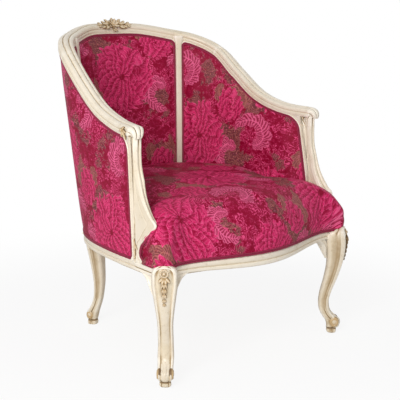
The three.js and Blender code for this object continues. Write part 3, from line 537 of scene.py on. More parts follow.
class Paintbox:
    """The nodes of a material or of the world while they are being set up."""

    def __init__(self, owner: bpy.types.Material | bpy.types.World) -> None:
        self.owner = owner
        owner.use_nodes = True
        self.tree = owner.node_tree
        self.tree.nodes.clear()

    def add(self, kind: str, settings: dict, values: dict) -> bpy.types.Node:
        """Adds a node, sets its settings, then its inputs.

        Args:
            kind: The node's type name.
            settings: Properties of the node by name.
            values: Numbers, colours or Fields by the input's name or place.

        Returns:
            The node.
        """
        made = self.tree.nodes.new(kind)
        for key, value in settings.items():
            setattr(made, key, value)
        for key, value in values.items():
            if isinstance(value, Field):
                self.tree.links.new(value.socket, made.inputs[key])
            else:
                made.inputs[key].default_value = value
        return made

    def node(self, kind: str, settings: dict, values: dict, output: int | str = 0) -> Field:
        """One output of a new node."""
        return Field(self, self.add(kind, settings, values).outputs[output])

    def blend(self, low: Field | Colour, high: Field | Colour, share: Field | float) -> Field:
        """A colour between two colours."""
        values = {0: share, 6: low, 7: high}
        return self.node("ShaderNodeMix", {"data_type": "RGBA", "clamp_factor": True}, values, 2)

    def noise(self, where: Field, scale: float, detail: float = 2, roughness: float = 0.5) -> Field:
        """Smooth noise around 0.5."""
        values = {"Vector": where, "Scale": scale, "Detail": detail, "Roughness": roughness}
        return self.node("ShaderNodeTexNoise", {}, values)

    def place(self) -> Field:
        """Object coordinates, in metres."""
        return self.node("ShaderNodeTexCoord", {}, {}, "Object")

    def cloth(self) -> Field:
        """The piece's cloth coordinates, in metres of fabric."""
        return self.node("ShaderNodeUVMap", {"uv_map": "cloth"}, {})

    def reading(self, name: str) -> Field:
        """A number kept on the mesh."""
        return self.node("ShaderNodeAttribute", {"attribute_name": name}, {}, "Fac")

    def parts(self, vector: Field) -> tuple[Field, Field, Field]:
        """The three parts of a vector."""
        x, y, z = self.add("ShaderNodeSeparateXYZ", {}, {0: vector}).outputs
        return Field(self, x), Field(self, y), Field(self, z)

    def rays(self, kind: str) -> Field:
        """1 for light rays of a kind, such as Camera, and 0 for the others."""
        return self.node("ShaderNodeLightPath", {}, {}, f"Is {kind} Ray")

    def vector(self, x: Field | float, y: Field | float, z: Field | float = 0.0) -> Field:
        """A vector from three parts."""
        return self.node("ShaderNodeCombineXYZ", {}, {0: x, 1: y, 2: z})

    def bump(self, height: Field, distance: float, strength: float = 1.0) -> Field:
        """A normal bent by a height."""
        values = {"Height": height, "Distance": distance, "Strength": strength}
        return self.node("ShaderNodeBump", {}, values)

    def finish(self, base: Field | Colour, rough: Field | float, normal: Field,
               **fixed: float) -> bpy.types.Material:
        """Ends the material in a Principled shader.

        Args:
            base: Base colour.
            rough: Roughness.
            normal: Bent normal.
            **fixed: Other sockets by their names with _ for a space, set to plain values.

        Returns:
            The material.
        """
        values: dict = {"Base Color": base, "Roughness": rough, "Normal": normal}
        values |= {name.replace("_", " "): value for name, value in fixed.items()}
        return self.close(self.node("ShaderNodeBsdfPrincipled", {}, values), "Material")

    def close(self, shader: Field, kind: str) -> bpy.types.Material | bpy.types.World:
        """Links the shader to the output for a Material or a World, and hands that back."""
        self.add(f"ShaderNodeOutput{kind}", {}, {"Surface": shader})
        return self.owner


def colour(red: int, green: int, blue: int) -> Colour:
    """A colour given as it shows on a screen, turned into light: ((c + 0.055) / 1.055)^2.4."""
    parts = [c / 255 for c in (red, green, blue)]
    light = [c / 12.92 if c < 0.04045 else ((c + 0.055) / 1.055) ** 2.4 for c in parts]
    return (light[0], light[1], light[2], 1.0)


# Finishes


@dataclass(frozen=True)
class CreamPaint:
    """Ivory paint with a brown and gold glaze in its quirks, and painted light and shade laid over it.

    The mesh keeps how hollow each point is, from -1 on a ridge to 1: the quirks turn to glaze, the broad
    hollows darken as painted shade, ridges turn to the palest paint as rubbed paint and a painted highlight,
    and carved work is gilded between the two, with a painted highlight on its crowns and painted shade
    down its sides.
    """

    pale: Colour = colour(239, 231, 216)
    cream: Colour = colour(226, 214, 194)
    warm: Colour = colour(216, 201, 171)
    glaze_and_shade: Colour = colour(158, 130, 88)
    gilt: Colour = colour(190, 158, 108)
    brown: Colour = colour(96, 70, 40)
    gilded: bool = False
    broad_scale: float = 8
    streak_scale: float = 48
    fine_scale: float = 170
    brush_depth: float = 0.0012

    def mixed(self, name: str) -> bpy.types.Material:
        """The material under a name."""
        box = Paintbox(bpy.data.materials.new(name))
        where = box.place()
        broad = box.noise(where, self.broad_scale, 3)
        streak = box.noise(where, self.streak_scale, 3, 0.65)
        fine = box.noise(where, self.fine_scale, 3, 0.6)
        # How hollow each point is, with streaks: it places the glaze and the painted shade in the hollows and
        # the painted highlight on ridges.
        glaze_and_painted_light_depth = box.reading("hollow") + (streak - 0.5) * 0.25
        body = box.blend(self.cream, self.warm, broad.step(0.40, 0.70) * 0.5 + (streak - 0.5) * 0.4)
        # Each coat lies where the surface is hollow: from a low to a high value, at most so much. The darker
        # coats are glaze in the quirks and painted shade in the broad hollows and down the sides of carved
        # work.
        if self.gilded:
            # On carved work the cream left on the crowns is a painted highlight and the brown down the sides
            # is painted shade.
            coats = ((self.gilt, -0.98, -0.62, 0.92), (self.brown, -0.40, 0.06, 0.90))
            pooled = glaze_and_painted_light_depth.step(-0.40, 0.06)
        else:
            # Ridges turn pale: partly rubbed paint, partly a painted highlight.
            body = box.blend(body, self.pale, (0.0 - glaze_and_painted_light_depth).step(0.04, 0.4) * 0.85)
            coats = ((self.warm, -0.05, 0.22, 0.6), (self.glaze_and_shade, 0.10, 0.55, 0.85),
                     (self.brown, 0.45, 0.95, 0.5))
            pooled = glaze_and_painted_light_depth.step(0.10, 0.55)
        for coat, low, high, most in coats:
            body = box.blend(body, coat, glaze_and_painted_light_depth.step(low, high) * most)
        if not self.gilded:
            body = box.blend(body, self.glaze_and_shade, (streak * fine).step(0.29, 0.42) * 0.22)
        height = broad * 0.3 + streak * 0.3 + fine * 0.15
        rough = 0.36 + pooled * 0.24 + (fine - 0.5) * 0.14
        bent = box.bump(height, self.brush_depth, 0.35)
        return box.finish(body, rough, bent, Coat_Weight=0.12, Coat_Roughness=0.3)


@dataclass(frozen=True)
class Damask:
    """Crimson jacquard: ragged blooms and feathered acanthus over satin, foliage and mauve."""

    satin: Colour = colour(134, 4, 42)
    rose: Colour = colour(211, 33, 99)
    vein: Colour = colour(238, 106, 152)
    mauve: Colour = colour(108, 52, 58)
    leaf: Colour = colour(178, 106, 98)
    width: float = 0.27
    height: float = 0.36
    thread_depth: float = 0.0007
    # For each leaf: middle of its curl, reach, start and angle turned through.
    quiet_leaves: tuple = (((0.10, 0.15), 0.072, -0.6, 4.4), ((-0.115, -0.075), 0.062, 2.2, 4.2))
    bright_leaves: tuple = (((-0.06, 0.185), 0.078, 1.4, 4.6), ((0.125, -0.045), 0.068, 3.6, 4.6))
    # Sizes of a bloom's rings of petals, from the outermost inwards.
    petal_rings: tuple = (1.0, 0.90, 0.80, 0.69, 0.58, 0.46, 0.34, 0.22)

    def mixed(self, name: str) -> bpy.types.Material:
        """The material under a name."""
        box = Paintbox(bpy.data.materials.new(name))
        u, v, _ = box.parts(box.cloth())
        plain = box.vector(u, v)
        broad = box.noise(plain, 17, 2)
        fine = box.noise(plain, 75, 3, 0.6)
        other = box.noise(box.vector(v, u, 0.4), 19, 2)
        thread = box.noise(plain, 260, 2, 0.6)
        u = u + (broad - 0.5) * 0.020 + (fine - 0.5) * 0.009 + (thread - 0.5) * 0.004
        v = v + (other - 0.5) * 0.020 + (fine - 0.5) * 0.009 - (thread - 0.5) * 0.004
        figure = self._ground(box, plain, broad, other, fine)
        for leaves, tones in ((self.quiet_leaves, (self.mauve, self.leaf)),
                              (self.bright_leaves, (self.satin, self.vein))):
            for centre, reach, start, span in leaves:
                cell = self._cell(u, v, centre)
                drawn, inside = self._feather(box, cell, reach, start, span, tones)
                figure = box.blend(figure, drawn, inside)
        small = self._cell(u, v, (self.width * 0.45, self.height * 0.275))
        figure = self._bloom(box, small, figure, 0.050, 13, broad)
        figure = self._bloom(box, self._cell(u, v, (0.0, 0.0)), figure, 0.104, 23, other)
        specks = thread * 0.6 + fine * 0.4
        figure = box.blend(figure, self.vein, specks.step(0.53, 0.64) * 0.30)
        figure = box.blend(figure, self.satin, (1 - specks).step(0.53, 0.64) * 0.55)
        rib = box.noise(box.vector(u * 260.0, v * 1300.0), 1.0, 2)
        slub = box.noise(box.vector(u * 40.0, v * 420.0), 1.0, 2)
        shade = 0.84 + rib * 0.16 + slub * 0.16
        base = box.node("ShaderNodeMix", {"data_type": "RGBA", "blend_type": "MULTIPLY"},
                        {0: 1.0, 6: figure, 7: box.vector(shade, shade, shade)}, 2)
        bent = box.bump(rib * 0.6 + fine * 0.4, self.thread_depth, 0.5)
        return box.finish(base, 0.50 + (fine - 0.5) * 0.25, bent, Specular_IOR_Level=0.1)

    def _cell(self, u: Field, v: Field, centre: tuple[float, float]) -> tuple[Field, Field]:
        """Coordinates about a motif's centre in a half-drop repeat."""
        across = u - centre[0]
        column = (across / self.width + 0.5).floor()
        drop = (column * 0.5).wrap(0.5).size() * self.height
        return across.wrap(self.width / 2), (v - centre[1] + drop).wrap(self.height / 2)

    def _ground(self, box: Paintbox, where: Field, broad: Field, other: Field, fine: Field) -> Field:
        """Satin with foliage drawn by the level lines of a noise, and ragged mauve patches.

        Args:
            box: The material's nodes.
            where: Cloth coordinates.
            broad: Wide noise that parts the foliage.
            other: A second wide noise that breaks its lines.
            fine: Fine noise that frays the edges.

        Returns:
            The colour of the ground.
        """
        ground = box.blend(self.satin, self.rose, (fine - 0.35) * 0.6)
        flow = box.noise(where, 21, 2, 0.45)
        lines = (flow * 120.0).lines(0.30, 0.75) * (other * 150.0 + broad * 90.0).lines(0.1, 0.5)
        leafy = (broad + (fine - 0.5) * 0.35).step(0.44, 0.50)
        foliage = box.blend(self.rose, self.vein, lines * 0.5)
        ground = box.blend(ground, foliage, lines * leafy * 0.85)
        patch = box.noise(where, 8.5, 2) + (fine - 0.5) * 0.30
        drawn = box.blend(self.mauve, self.leaf, lines * 0.75)
        return box.blend(ground, drawn, patch.step(0.53, 0.575))

    def _bloom(self, box: Paintbox, cell: tuple[Field, Field], under: Field, reach: float,
               petals: int, drift: Field) -> Field:
        """A many-petalled bloom: nested rings of pointed, barbed petals, brighter at the tips.

        Args:
            box: The material's nodes.
            cell: Coordinates about the bloom's middle.
            under: Colour below the bloom.
            reach: Its radius.
            petals: Petals in the outermost ring.
            drift: Noise that makes the rings uneven.

        Returns:
            The colour with the bloom laid over it.
        """
        p, q = cell
        radius = (p * p + q * q) ** 0.5 / reach * ((drift - 0.5) * 0.5 + 1)
        angle = q.angle(p) + (drift - 0.5) * 1.4
        now = under
        for step, size in enumerate(self.petal_rings):
            count = max(5, petals - 2 * step)
            petal = (angle * (count / (2 * math.pi)) + 0.37 * step).fold() * 2
            tip = size - (1 - petal) ** 1.2 * 0.18
            inner = (radius - (size - 0.24)).step(0.0, 0.20)
            barbs = (radius * 96.0 - petal * 9.0).lines(0.25, 0.9)
            body = box.blend(self.satin, self.rose, inner * 0.85 + drift * 0.25)
            body = box.blend(body, self.vein, barbs * inner * 0.42)
            edge = 1 - (tip - radius).step(0.008, 0.032)
            body = box.blend(body, self.vein, edge * 0.55)
            now = box.blend(now, body, (tip - radius).step(0.0, 0.02))
        heart = 1 - radius.step(0.07, 0.10)
        return box.blend(now, self.satin, heart)

    def _feather(self, box: Paintbox, cell: tuple[Field, Field], reach: float, start: float,
                 span: float, tones: tuple[Colour, Colour]) -> tuple[Field, Field]:
        """A curled acanthus leaf: a lobed band along an opening spiral, with barbs and a midrib.

        Args:
            box: The material's nodes.
            cell: Coordinates about the middle of the curl.
            reach: Radius of the curl at its tip.
            start: Angle at which the leaf starts.
            span: Angle that it turns through.
            tones: Colour of its hollows and of its barbs.

        Returns:
            The leaf's colour, and 1 inside the leaf and 0 outside.
        """
        p, q = cell
        dark, light = tones
        radius = (p * p + q * q) ** 0.5
        c, d = math.cos(start), math.sin(start)
        turned = (q * c - p * d).angle(p * c + q * d)
        t = (turned + math.pi) / span
        spine = (t * 0.62 + 0.20) * reach
        lobes = (t * 26.0).sine().size()
        notches = (t * 78.0).sine().size()
        body = (t * (1 - t)).most(0.0) ** 0.5
        half = body * (lobes * 0.24 + notches * 0.08 + 0.44) * reach
        off = ((radius - spine) / half.most(0.0005)).size()
        barbs = (t * 150.0 - off * 9.0).lines(0.2, 0.85)
        drawn = box.blend(dark, light, barbs * 0.62 + 0.12)
        drawn = box.blend(drawn, light, (1 - off.step(0.04, 0.10)) * 0.8)
        drawn = box.blend(drawn, light, off.step(0.76, 0.92) * 0.6)
        return drawn, (1 - off).step(0.0, 0.10) * (1 - t.step(0.98, 1.0))


@dataclass(frozen=True)
class Plain:
    """A simple finish of one colour with grain or weave."""

    base: Colour
    other: Colour
    rough: float = 0.6
    metal: float = 0.0
    grain: float = 60.0
    stretch: tuple[float, float, float] = (1.0, 1.0, 1.0)
    depth: float = 0.0006

    def mixed(self, name: str) -> bpy.types.Material:
        """The material under a name."""
        box = Paintbox(bpy.data.materials.new(name))
        x, y, z = box.parts(box.place())
        where = box.vector(x * self.stretch[0], y * self.stretch[1], z * self.stretch[2])
        grain = box.noise(where, self.grain, 5, 0.65)
        body = box.blend(self.base, self.other, grain.step(0.35, 0.7))
        rough = self.rough + (grain - 0.5) * 0.15
        return box.finish(body, rough, box.bump(grain, self.depth, 0.6), Metallic=self.metal)


class Finish(Enum):
    """The chair's finishes, with the record's slot for each."""

    PAINT = "paint"
    GILDING = "gilding"
    FABRIC = "damask"
    CORD = "damask cord"
    BEECH = "beech"
    LINEN = "linen"
    STEEL = "steel"

    @property
    def slot(self) -> str:
        """The record's material slot."""
        return self.value.split()[0]


def readings(items: bpy.types.bpy_prop_collection, name: str, width: int, kind: type) -> Array:
    """A property of every item of a mesh, one row of numbers each."""
    flat = np.zeros(len(items) * width, kind)
    items.foreach_get(name, flat)
    return flat.reshape(-1, width)


class Bench:
    """Where pieces are made: it holds the finishes and turns skins into Blender objects.

    A painted piece keeps on its mesh how hollow each point is, which its finish paints as glaze and
    painted shade. Curvature alone may give at most the held value where a skin has its own tone.
    """

    # Curvature, in 1 / m, that counts as fully hollow on its own: of the quirks, painted as glaze, and of
    # broad hollows, painted as shade.
    SHARP = 130
    BROAD = 60
    STEEPEST = 600
    SHARP_PASSES = 3
    BROAD_PASSES = 16

    def __init__(self, shift: float) -> None:
        self.shift = np.array([0, shift, 0])
        cord = Plain(colour(146, 20, 62), colour(114, 12, 46), 0.6, grain=900)
        beech = Plain(colour(202, 164, 116), colour(176, 134, 88), 0.65, grain=40, stretch=(1, 1, 6))
        linen = Plain(colour(196, 172, 132), colour(160, 134, 96), 0.9, grain=700)
        steel = Plain(colour(150, 152, 156), colour(110, 112, 116), 0.4, 1.0)
        self.finishes = {
            Finish.PAINT: CreamPaint().mixed("cream_paint"),
            # Gilding with a painted highlight on the crowns of the carving and painted shade down its sides.
            Finish.GILDING: CreamPaint(gilded=True).mixed("gilding_with_painted_light"),
            Finish.FABRIC: Damask().mixed("crimson_damask"),
            Finish.CORD: cord.mixed("maroon_cord"),
            Finish.BEECH: beech.mixed("beech"),
            Finish.LINEN: linen.mixed("linen"),
            Finish.STEEL: steel.mixed("spring_steel"),
        }
        self.held = {Finish.PAINT: 0.5, Finish.GILDING: 0.2}

    def make(self, name: str, skin: Skin, finish: Finish, replaces: Sequence[str] = (),
             crease: float = 50.0) -> bpy.types.Object:
        """Turns a skin into an object that rides on the frame.

        Args:
            name: The piece's name.
            skin: Its closed skin, in chair coordinates.
            finish: What it is finished with.
            replaces: CAD nodes that it stands for.
            crease: Angle in degrees past which an edge stays sharp.

        Returns:
            The object, at the origin.
        """
        skin = skin.outward()
        mesh = bpy.data.meshes.new(name)
        mesh.vertices.add(len(skin.points))
        mesh.vertices.foreach_set("co", (skin.points + self.shift).astype(np.float32).ravel())
        corners = np.concatenate([skin.quads.ravel(), skin.tris.ravel()]).astype(np.int32)
        mesh.loops.add(len(corners))
        mesh.loops.foreach_set("vertex_index", corners)
        count = len(skin.quads)
        starts = np.concatenate([np.arange(count) * 4, count * 4 + np.arange(len(skin.tris)) * 3])
        mesh.polygons.add(len(starts))
        mesh.polygons.foreach_set("loop_start", starts.astype(np.int32))
        if skin.cloth is not None:
            layer = mesh.uv_layers.new(name="cloth")
            layer.uv.foreach_set("vector", skin.cloth[corners].astype(np.float32).ravel())
        mesh.update(calc_edges=True)
        mesh.validate()
        mesh.shade_smooth()
        mesh.set_sharp_from_angle(angle=math.radians(crease))
        if finish in self.held:
            self._note_hollows(mesh, skin.tone, self.held[finish])
        mesh.materials.append(self.finishes[finish])
        piece = bpy.data.objects.new(name, mesh)
        bpy.context.scene.collection.objects.link(piece)
        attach(piece, "root")
        if replaces:
            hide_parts(*replaces)
        log.info("%s: %d faces", name, len(mesh.polygons))
        return piece

    def _note_hollows(self, mesh: bpy.types.Mesh, tone: Array | None, held: float) -> None:
        """Keeps on each point how hollow the surface is there, from -1 on a ridge to 1, for glaze, painted
        shade and painted highlight.

        It is the mean height of a point's neighbours over its tangent plane, divided by the
        mean square of their distances, smoothed a little for the quirks and more for the broad
        hollows beside them.

        Args:
            mesh: The piece's mesh.
            tone: How deep in the carving each point lies, or how much painted shade it takes, where the skin
                says so.
            held: Most that curvature may then add, up or down.
        """
        place = readings(mesh.vertices, "co", 3, float)
        normal = readings(mesh.vertex_normals, "vector", 3, float)
        a, b = readings(mesh.edges, "vertices", 2, np.int32).T
        a, b = np.concatenate([a, b]), np.concatenate([b, a])
        count = len(place)
        near = np.maximum(np.bincount(a, minlength=count), 1)

        def mean(values: Array) -> Array:
            """Mean over each point's edges."""
            return np.bincount(a, values, count) / near

        run = place[b] - place[a]
        square = np.maximum(mean(np.sum(run * run, axis=1)), 1e-10)
        sharp = np.clip(mean(np.sum(run * normal[a], axis=1)) / square, -self.STEEPEST, self.STEEPEST)
        for _ in range(self.SHARP_PASSES):
            sharp = (sharp + mean(sharp[b])) / 2
        broad = sharp
        for _ in range(self.BROAD_PASSES):
            broad = (broad + mean(broad[b])) / 2
        # Glaze from the quirks plus painted shade from the broad hollows.
        value = sharp / self.SHARP + broad / self.BROAD
        if tone is not None:
            value = np.clip(value, -held, held) + tone
        value = np.clip(value, -1, 1)
        kept = mesh.attributes.new("hollow", "FLOAT", "POINT")
        kept.data.foreach_set("value", value.astype(np.float32))


# Painted frame


@dataclass
class TopRail:
    """Crest rail and arm rails: one moulding carried from knuckle to knuckle."""

    bench: Bench
    guide: Guide
    bend: float = 0.011
    roll: float = math.radians(105)
    taper: float = 0.56
    bend_rows: int = 33
    # Right half of the section, from the middle of its underside to the middle of its crown.
    half_section: tuple = (
        (0, -0.5), (0.38, -0.5), (0.46, -0.46), (0.5, -0.34), (0.5, -0.16), (0.488, -0.11),
        (0.47, -0.075), (0.488, -0.04), (0.5, 0.02), (0.498, 0.1), (0.48, 0.22), (0.42, 0.32),
        (0.34, 0.375), (0.27, 0.385), (0.235, 0.375), (0.215, 0.31), (0.19, 0.29), (0.175, 0.33),
        (0.15, 0.41), (0.08, 0.48), (0, 0.5),
    )

    def section(self) -> Array:
        """The moulding's section, across and up, in metres."""
        flat = closed_section(symmetric(self.half_section, -1), 132)
        return flat * [self.guide.rail_width, self.guide.rail_depth]

    def build(self) -> None:
        """Makes the crest rail and both arm rails."""
        share = np.linspace(-self.guide.shoulder, self.guide.shoulder, 220)
        place, _, outward, up = self.guide.rail(share)
        crest = tube(carried(self.section(), place, outward, up))
        self.bench.make("crest_rail_moulded", crest, Finish.PAINT, ["crest_rail"])
        for word, side in SIDES:
            skin = tube(self.arm(side))
            self.bench.make(f"arm_rail_moulded_{word}", skin, Finish.PAINT, [f"arm_rail_{word}"])

    def arm(self, side: int) -> Array:
        """Rings of an arm rail: along the path, then round the knuckle, getting smaller."""
        share = side * np.linspace(self.guide.shoulder, 1, 150)
        place, _, outward, up = self.guide.rail(share)
        straight = carried(self.section(), place, outward, up)
        end, along, out, top = (value[0] for value in self.guide.rail(np.array([float(side)])))
        turned = np.linspace(0, 1, self.bend_rows + 1)[1:]
        lift = around(top, along * side, self.roll * turned[:, None])
        centre = end - top * self.bend + lift * self.bend
        size = mix(1, self.taper, turned)
        bent = carried(self.section(), centre, np.broadcast_to(out, lift.shape), lift, size)
        return np.concatenate([straight, bent])


@dataclass
class ArmPosts:
    """Arm supports: a grooved front that sweeps to a tip over the seat and back to the knee."""

    bench: Bench
    guide: Guide
    thickness: float = 0.023
    lean: float = 0.001
    rear: float = 0.188
    tip_depth: float = 0.102
    neck_depth: float = 0.037
    slant: float = 0.024
    fillet: float = 0.030
    roll: float = 0.010
    groove: float = 0.0036
    bead: float = 0.008
    quirk: float = 0.0024
    channel: float = 0.0030
    parting: float = 0.0011
    # Height, forward reach and backward reach of a post, as shares of its sizes.
    rows: tuple = (
        (0, 0.30, 0), (0.029, 0.15, 0), (0.074, 0, 0), (0.131, 0.06, 0), (0.189, 0.33, 0),
        (0.262, 0.71, 0), (0.325, 1, 0), (0.385, 0.72, 0.1), (0.45, 0.46, 0.15), (0.53, 0.22, 0.2),
        (0.648, 0.0, 0.2), (0.77, -0.16, 0.2), (0.86, -0.19, 0.25), (0.92, -0.19, 0.4),
        (0.97, -0.19, 0.7), (1.02, -0.19, 1.2),
    )
    # Lean, length and width of the leaves under the arm.
    fan: tuple = (
        (0.55, 0.027, 0.0120), (1.25, 0.016, 0.0085), (-0.05, 0.019, 0.0090), (2.4, 0.011, 0.0080),
        (-1.1, 0.012, 0.0080),
    )
    fan_depth: float = -0.176
    fan_rise: float = 0.003
    fan_sink: float = 0.0020
    # Lean, length, height and depth of the husks at a post's foot.
    husks: tuple = (
        (0.0, 0.030, 0.362, -0.2015), (0.35, 0.020, 0.350, -0.199), (-0.35, 0.020, 0.350, -0.204),
        (0.0, 0.020, 0.337, -0.203),
    )
    husk_sink: float = 0.0030
    seed: tuple = (-0.2035, 0.3155)
    seed_sink: float = 0.0018

    def profile(self) -> Array:
        """Heights, fronts and rears of a post from the seat rail up, in metres."""
        low = self.guide.show_top
        high = self.guide.knuckle_height - self.guide.rail_depth / 2
        rise, reach, back = Curve(self.rows).even(130).T
        front = -self.rear - mix(self.neck_depth, self.tip_depth, reach)
        return np.stack([mix(low, high, rise), front, -self.rear + back * self.fillet], axis=1)

    def front_face(self) -> Array:
        """Across and back, in metres: two rounded beads beside a groove, from edge to edge."""
        across = np.linspace(-0.5, 0.5, 45)
        off = np.abs(across)
        back = self.roll * np.clip((off - 0.2) / 0.3, 0, 1) ** 3
        back = back + self.groove * (1 - smooth(off, 0.02, 0.18))
        return np.stack([across * self.thickness, back], axis=1)

    def flank(self, ahead: Array, behind: Array) -> Array:
        """How far a side stands in: a bead by the panel, a channel, a ridge parted by a quirk.

        Args:
            ahead: Distances from the front bead.
            behind: Distances from the panel.

        Returns:
            Depths below the side's plane.
        """
        rounded = self.bead / 3 * np.clip(1 - behind / self.bead * 2, 0, 1) ** 2
        quirk = self.quirk * np.exp(-((behind - self.bead) / 0.0012) ** 2)
        channel = self.channel * np.exp(-((behind - 1.75 * self.bead) / 0.0042) ** 2)
        share = ahead / np.maximum(ahead + behind, 1e-6)
        parted = self.parting * np.exp(-((share - 0.30) * (ahead + behind) / 0.0013) ** 2)
        step = 0.0012 * smooth(behind, self.bead, 3 * self.bead)
        return rounded + quirk + channel + parted + step

    def build(self) -> None:
        """Makes both posts with their carved leaves."""
        height, front, rear = self.profile().T
        rise = (height - height[0]) / (height[-1] - height[0])
        middle = self.guide.seat_half_span - self.thickness / 2 + self.lean * smooth(rise, 0, 1)
        face = self.front_face()
        depth = (rear - front - self.roll)[:, None]
        run = np.linspace(0, 1, 56)[None, 1:] * depth
        inset = self.thickness / 2 - self.flank(run, depth - run)
        face_x = np.broadcast_to(face[:, 0], (len(rise), len(face)))
        face_y = front[:, None] + face[:, 1]
        flank_y = front[:, None] + self.roll + run
        across = np.concatenate([face_x, inset, -inset[:, ::-1]], axis=1)
        y = np.concatenate([face_y, flank_y, flank_y[:, ::-1]], axis=1)
        z = np.broadcast_to(height[:, None], y.shape)
        tip = (-self.rear - self.neck_depth - front) / (self.tip_depth - self.neck_depth)
        reach = np.clip(tip, 0, 1)[:, None] ** 0.7
        ahead = np.clip(1 - (y - front[:, None]) / (rear - front)[:, None], 0, 1)
        for word, side in SIDES:
            inside = 0.5 - np.clip(side * across / self.thickness, -0.5, 0.5)
            turned = self.slant * reach * inside * ahead
            grid = np.stack([side * middle[:, None] + across, y + turned, z], axis=-1)
            self.bench.make(f"arm_post_moulded_{word}", tube(grid), Finish.PAINT, [f"arm_post_{word}"])
            self.bench.make(f"knuckle_leaves_{word}", self.leaves(side), Finish.GILDING)
            self.bench.make(f"post_foot_scroll_{word}", self.scroll(side), Finish.GILDING)

    def leaves(self, side: int) -> Skin:
        """Acanthus leaves under the arm, from the rail's side down over both flanks of a post."""
        guide = self.guide
        skins = []
        for hand in (-1, 1):
            face = unit(np.array([float(hand), 0, -0.25]))
            x = side * guide.rail_half_span + hand * (guide.rail_width / 2 - self.fan_sink)
            base = np.array([x, self.fan_depth, guide.knuckle_height + self.fan_rise])
            for lean, length, width in self.fan:
                along = unit(np.array([-0.22 * hand, -math.sin(lean), -math.cos(lean)]))
                leaf = Leaf(length, width, 0.0046, 3, 0.10, 0.25 * hand)
                skins.append(leaf.skin(base, along, face))
            skins.append(ball(base + face * 0.002, 0.0042, face))
        return join(skins)

    def scroll(self, side: int) -> Skin:
        """Husks and a seed on each flank of a post's foot, where its lines run together."""
        skins = []
        for hand in (-1, 1):
            flank = side * (self.guide.seat_half_span - self.thickness / 2) + hand * self.thickness / 2
            face = np.array([float(hand), 0, 0])
            for lean, length, height, depth in self.husks:
                along = unit(np.array([0, math.sin(lean) - 0.12, -math.cos(lean)]))
                base = np.array([flank - hand * self.husk_sink, depth, height])
                leaf = Leaf(length, 0.0085, 0.0040, 0, 0.04, -lean)
                skins.append(leaf.skin(base, along, face))
            skins.append(ball(np.array([flank - hand * self.seed_sink, *self.seed]), 0.0036, face))
        return join(skins)


@dataclass(frozen=True)
class Leaf:
    """A carved leaf: a crowned blade along a bent path, with a midrib and notched edges.

    Its half width goes as the root of sin(pi t), cut by as many notches as it has lobes, and
    its tip lifts off the ground as t squared.
    """

    ROWS = 26
    COLUMNS = 22
    NOTCH = 0.34

    length: float
    width: float
    thick: float
    lobes: int = 0
    lift: float = 0.0
    bend: float = 0.0

    def skin(self, base: Array, along: Array, face: Array) -> Skin:
        """The closed blade.

        Args:
            base: Where it starts.
            along: The direction that it starts in.
            face: The direction that its crown faces.

        Returns:
            The skin.
        """
        t = np.linspace(0, 1, self.ROWS)
        across = np.cross(face, along)
        turn = self.bend * t[:, None]
        way = around(along, across, turn)
        side = around(across, -along, turn)
        run = np.vstack([np.zeros(3), np.cumsum(way[1:], axis=0)]) * self.length / (len(t) - 1)
        path = base + run + face * (self.lift * self.length * t[:, None] ** 2)
        body = np.sin(np.pi * np.clip(t ** 0.8, 0.02, 0.985)) ** 0.6
        notch = 1.0
        if self.lobes:
            notch = 1 - self.NOTCH * (1 - np.abs(np.sin(np.pi * self.lobes * t))) ** 2
        half = self.width / 2 * body * notch
        turns = ring_turns(self.COLUMNS)
        x, crown = np.cos(turns), np.sin(turns)
        midrib = 1 - 0.5 * np.exp(-(x / 0.2) ** 2)
        top = np.where(crown > 0, np.abs(crown) ** 0.7 * midrib, crown * 0.6)
        height = self.thick * body[:, None] ** 0.5 * top[None, :]
        spread = side[:, None] * (half[:, None] * x)[..., None]
        skin = tube(path[:, None] + spread + face * height[..., None])
        # Tone: the crown's top is pale as a painted highlight; the sides, the midrib and the root where the
        # leaf meets the ground are dark as painted shade.
        rib = 0.35 * np.exp(-(x / 0.14) ** 2)
        depth = 0.70 - 1.50 * np.abs(crown)[None, :] ** 1.8 + rib * (crown > 0)
        depth = depth + 0.7 * np.clip(1 - t / 0.25, 0, 1)[:, None]
        skin.tone = np.concatenate([depth.ravel(), [1.0, 0.0]])
        return skin


def ball(centre: Array, radius: float, up: Array, squash: float = 1.0) -> Skin:
    """A ball squashed along a direction: rings of radius sin a at heights cos a."""
    rows, columns, pole = 12, 18, 0.06
    up = unit(np.asarray(up, float))
    across = unit(np.cross(up, [0.31, 0.47, 0.83]))
    other = np.cross(up, across)
    a = np.linspace(pole, np.pi - pole, rows)[:, None, None]
    out = around(across, other, ring_turns(columns)[None, :, None])
    skin = tube(centre + out * np.sin(a) * radius + up * (np.cos(a) * radius * squash))
    # Tone: pale on top as a painted highlight, darker towards its foot as painted shade.
    depth = np.broadcast_to(0.3 - 1.05 * np.cos(a), (rows, columns, 1))
    skin.tone = np.concatenate([depth.ravel(), [-0.6, 1.0]])
    return skin


def rod(path: Array, radius: Array | float, flat: float = 1.0, axis: Array = SKEW,
        closed: bool = False) -> Skin:
    """A round rod along a path.

    Args:
        path: Its middle line.
        radius: One for the whole rod or one for each place.
        flat: Its thickness along the axis, as a share of that across it.
        axis: Direction in which it may be flattened.
        closed: The path ends where it starts.

    Returns:
        The closed skin.
    """
    along = directions(path, closed)
    across = unit(np.cross(along, np.broadcast_to(axis, path.shape)))
    other = unit(np.cross(across, along))
    turn = ring_turns(14)
    ring = np.stack([np.cos(turn), np.sin(turn) * flat], axis=1)
    return tube(carried(ring, path, across, other, radius), closed)


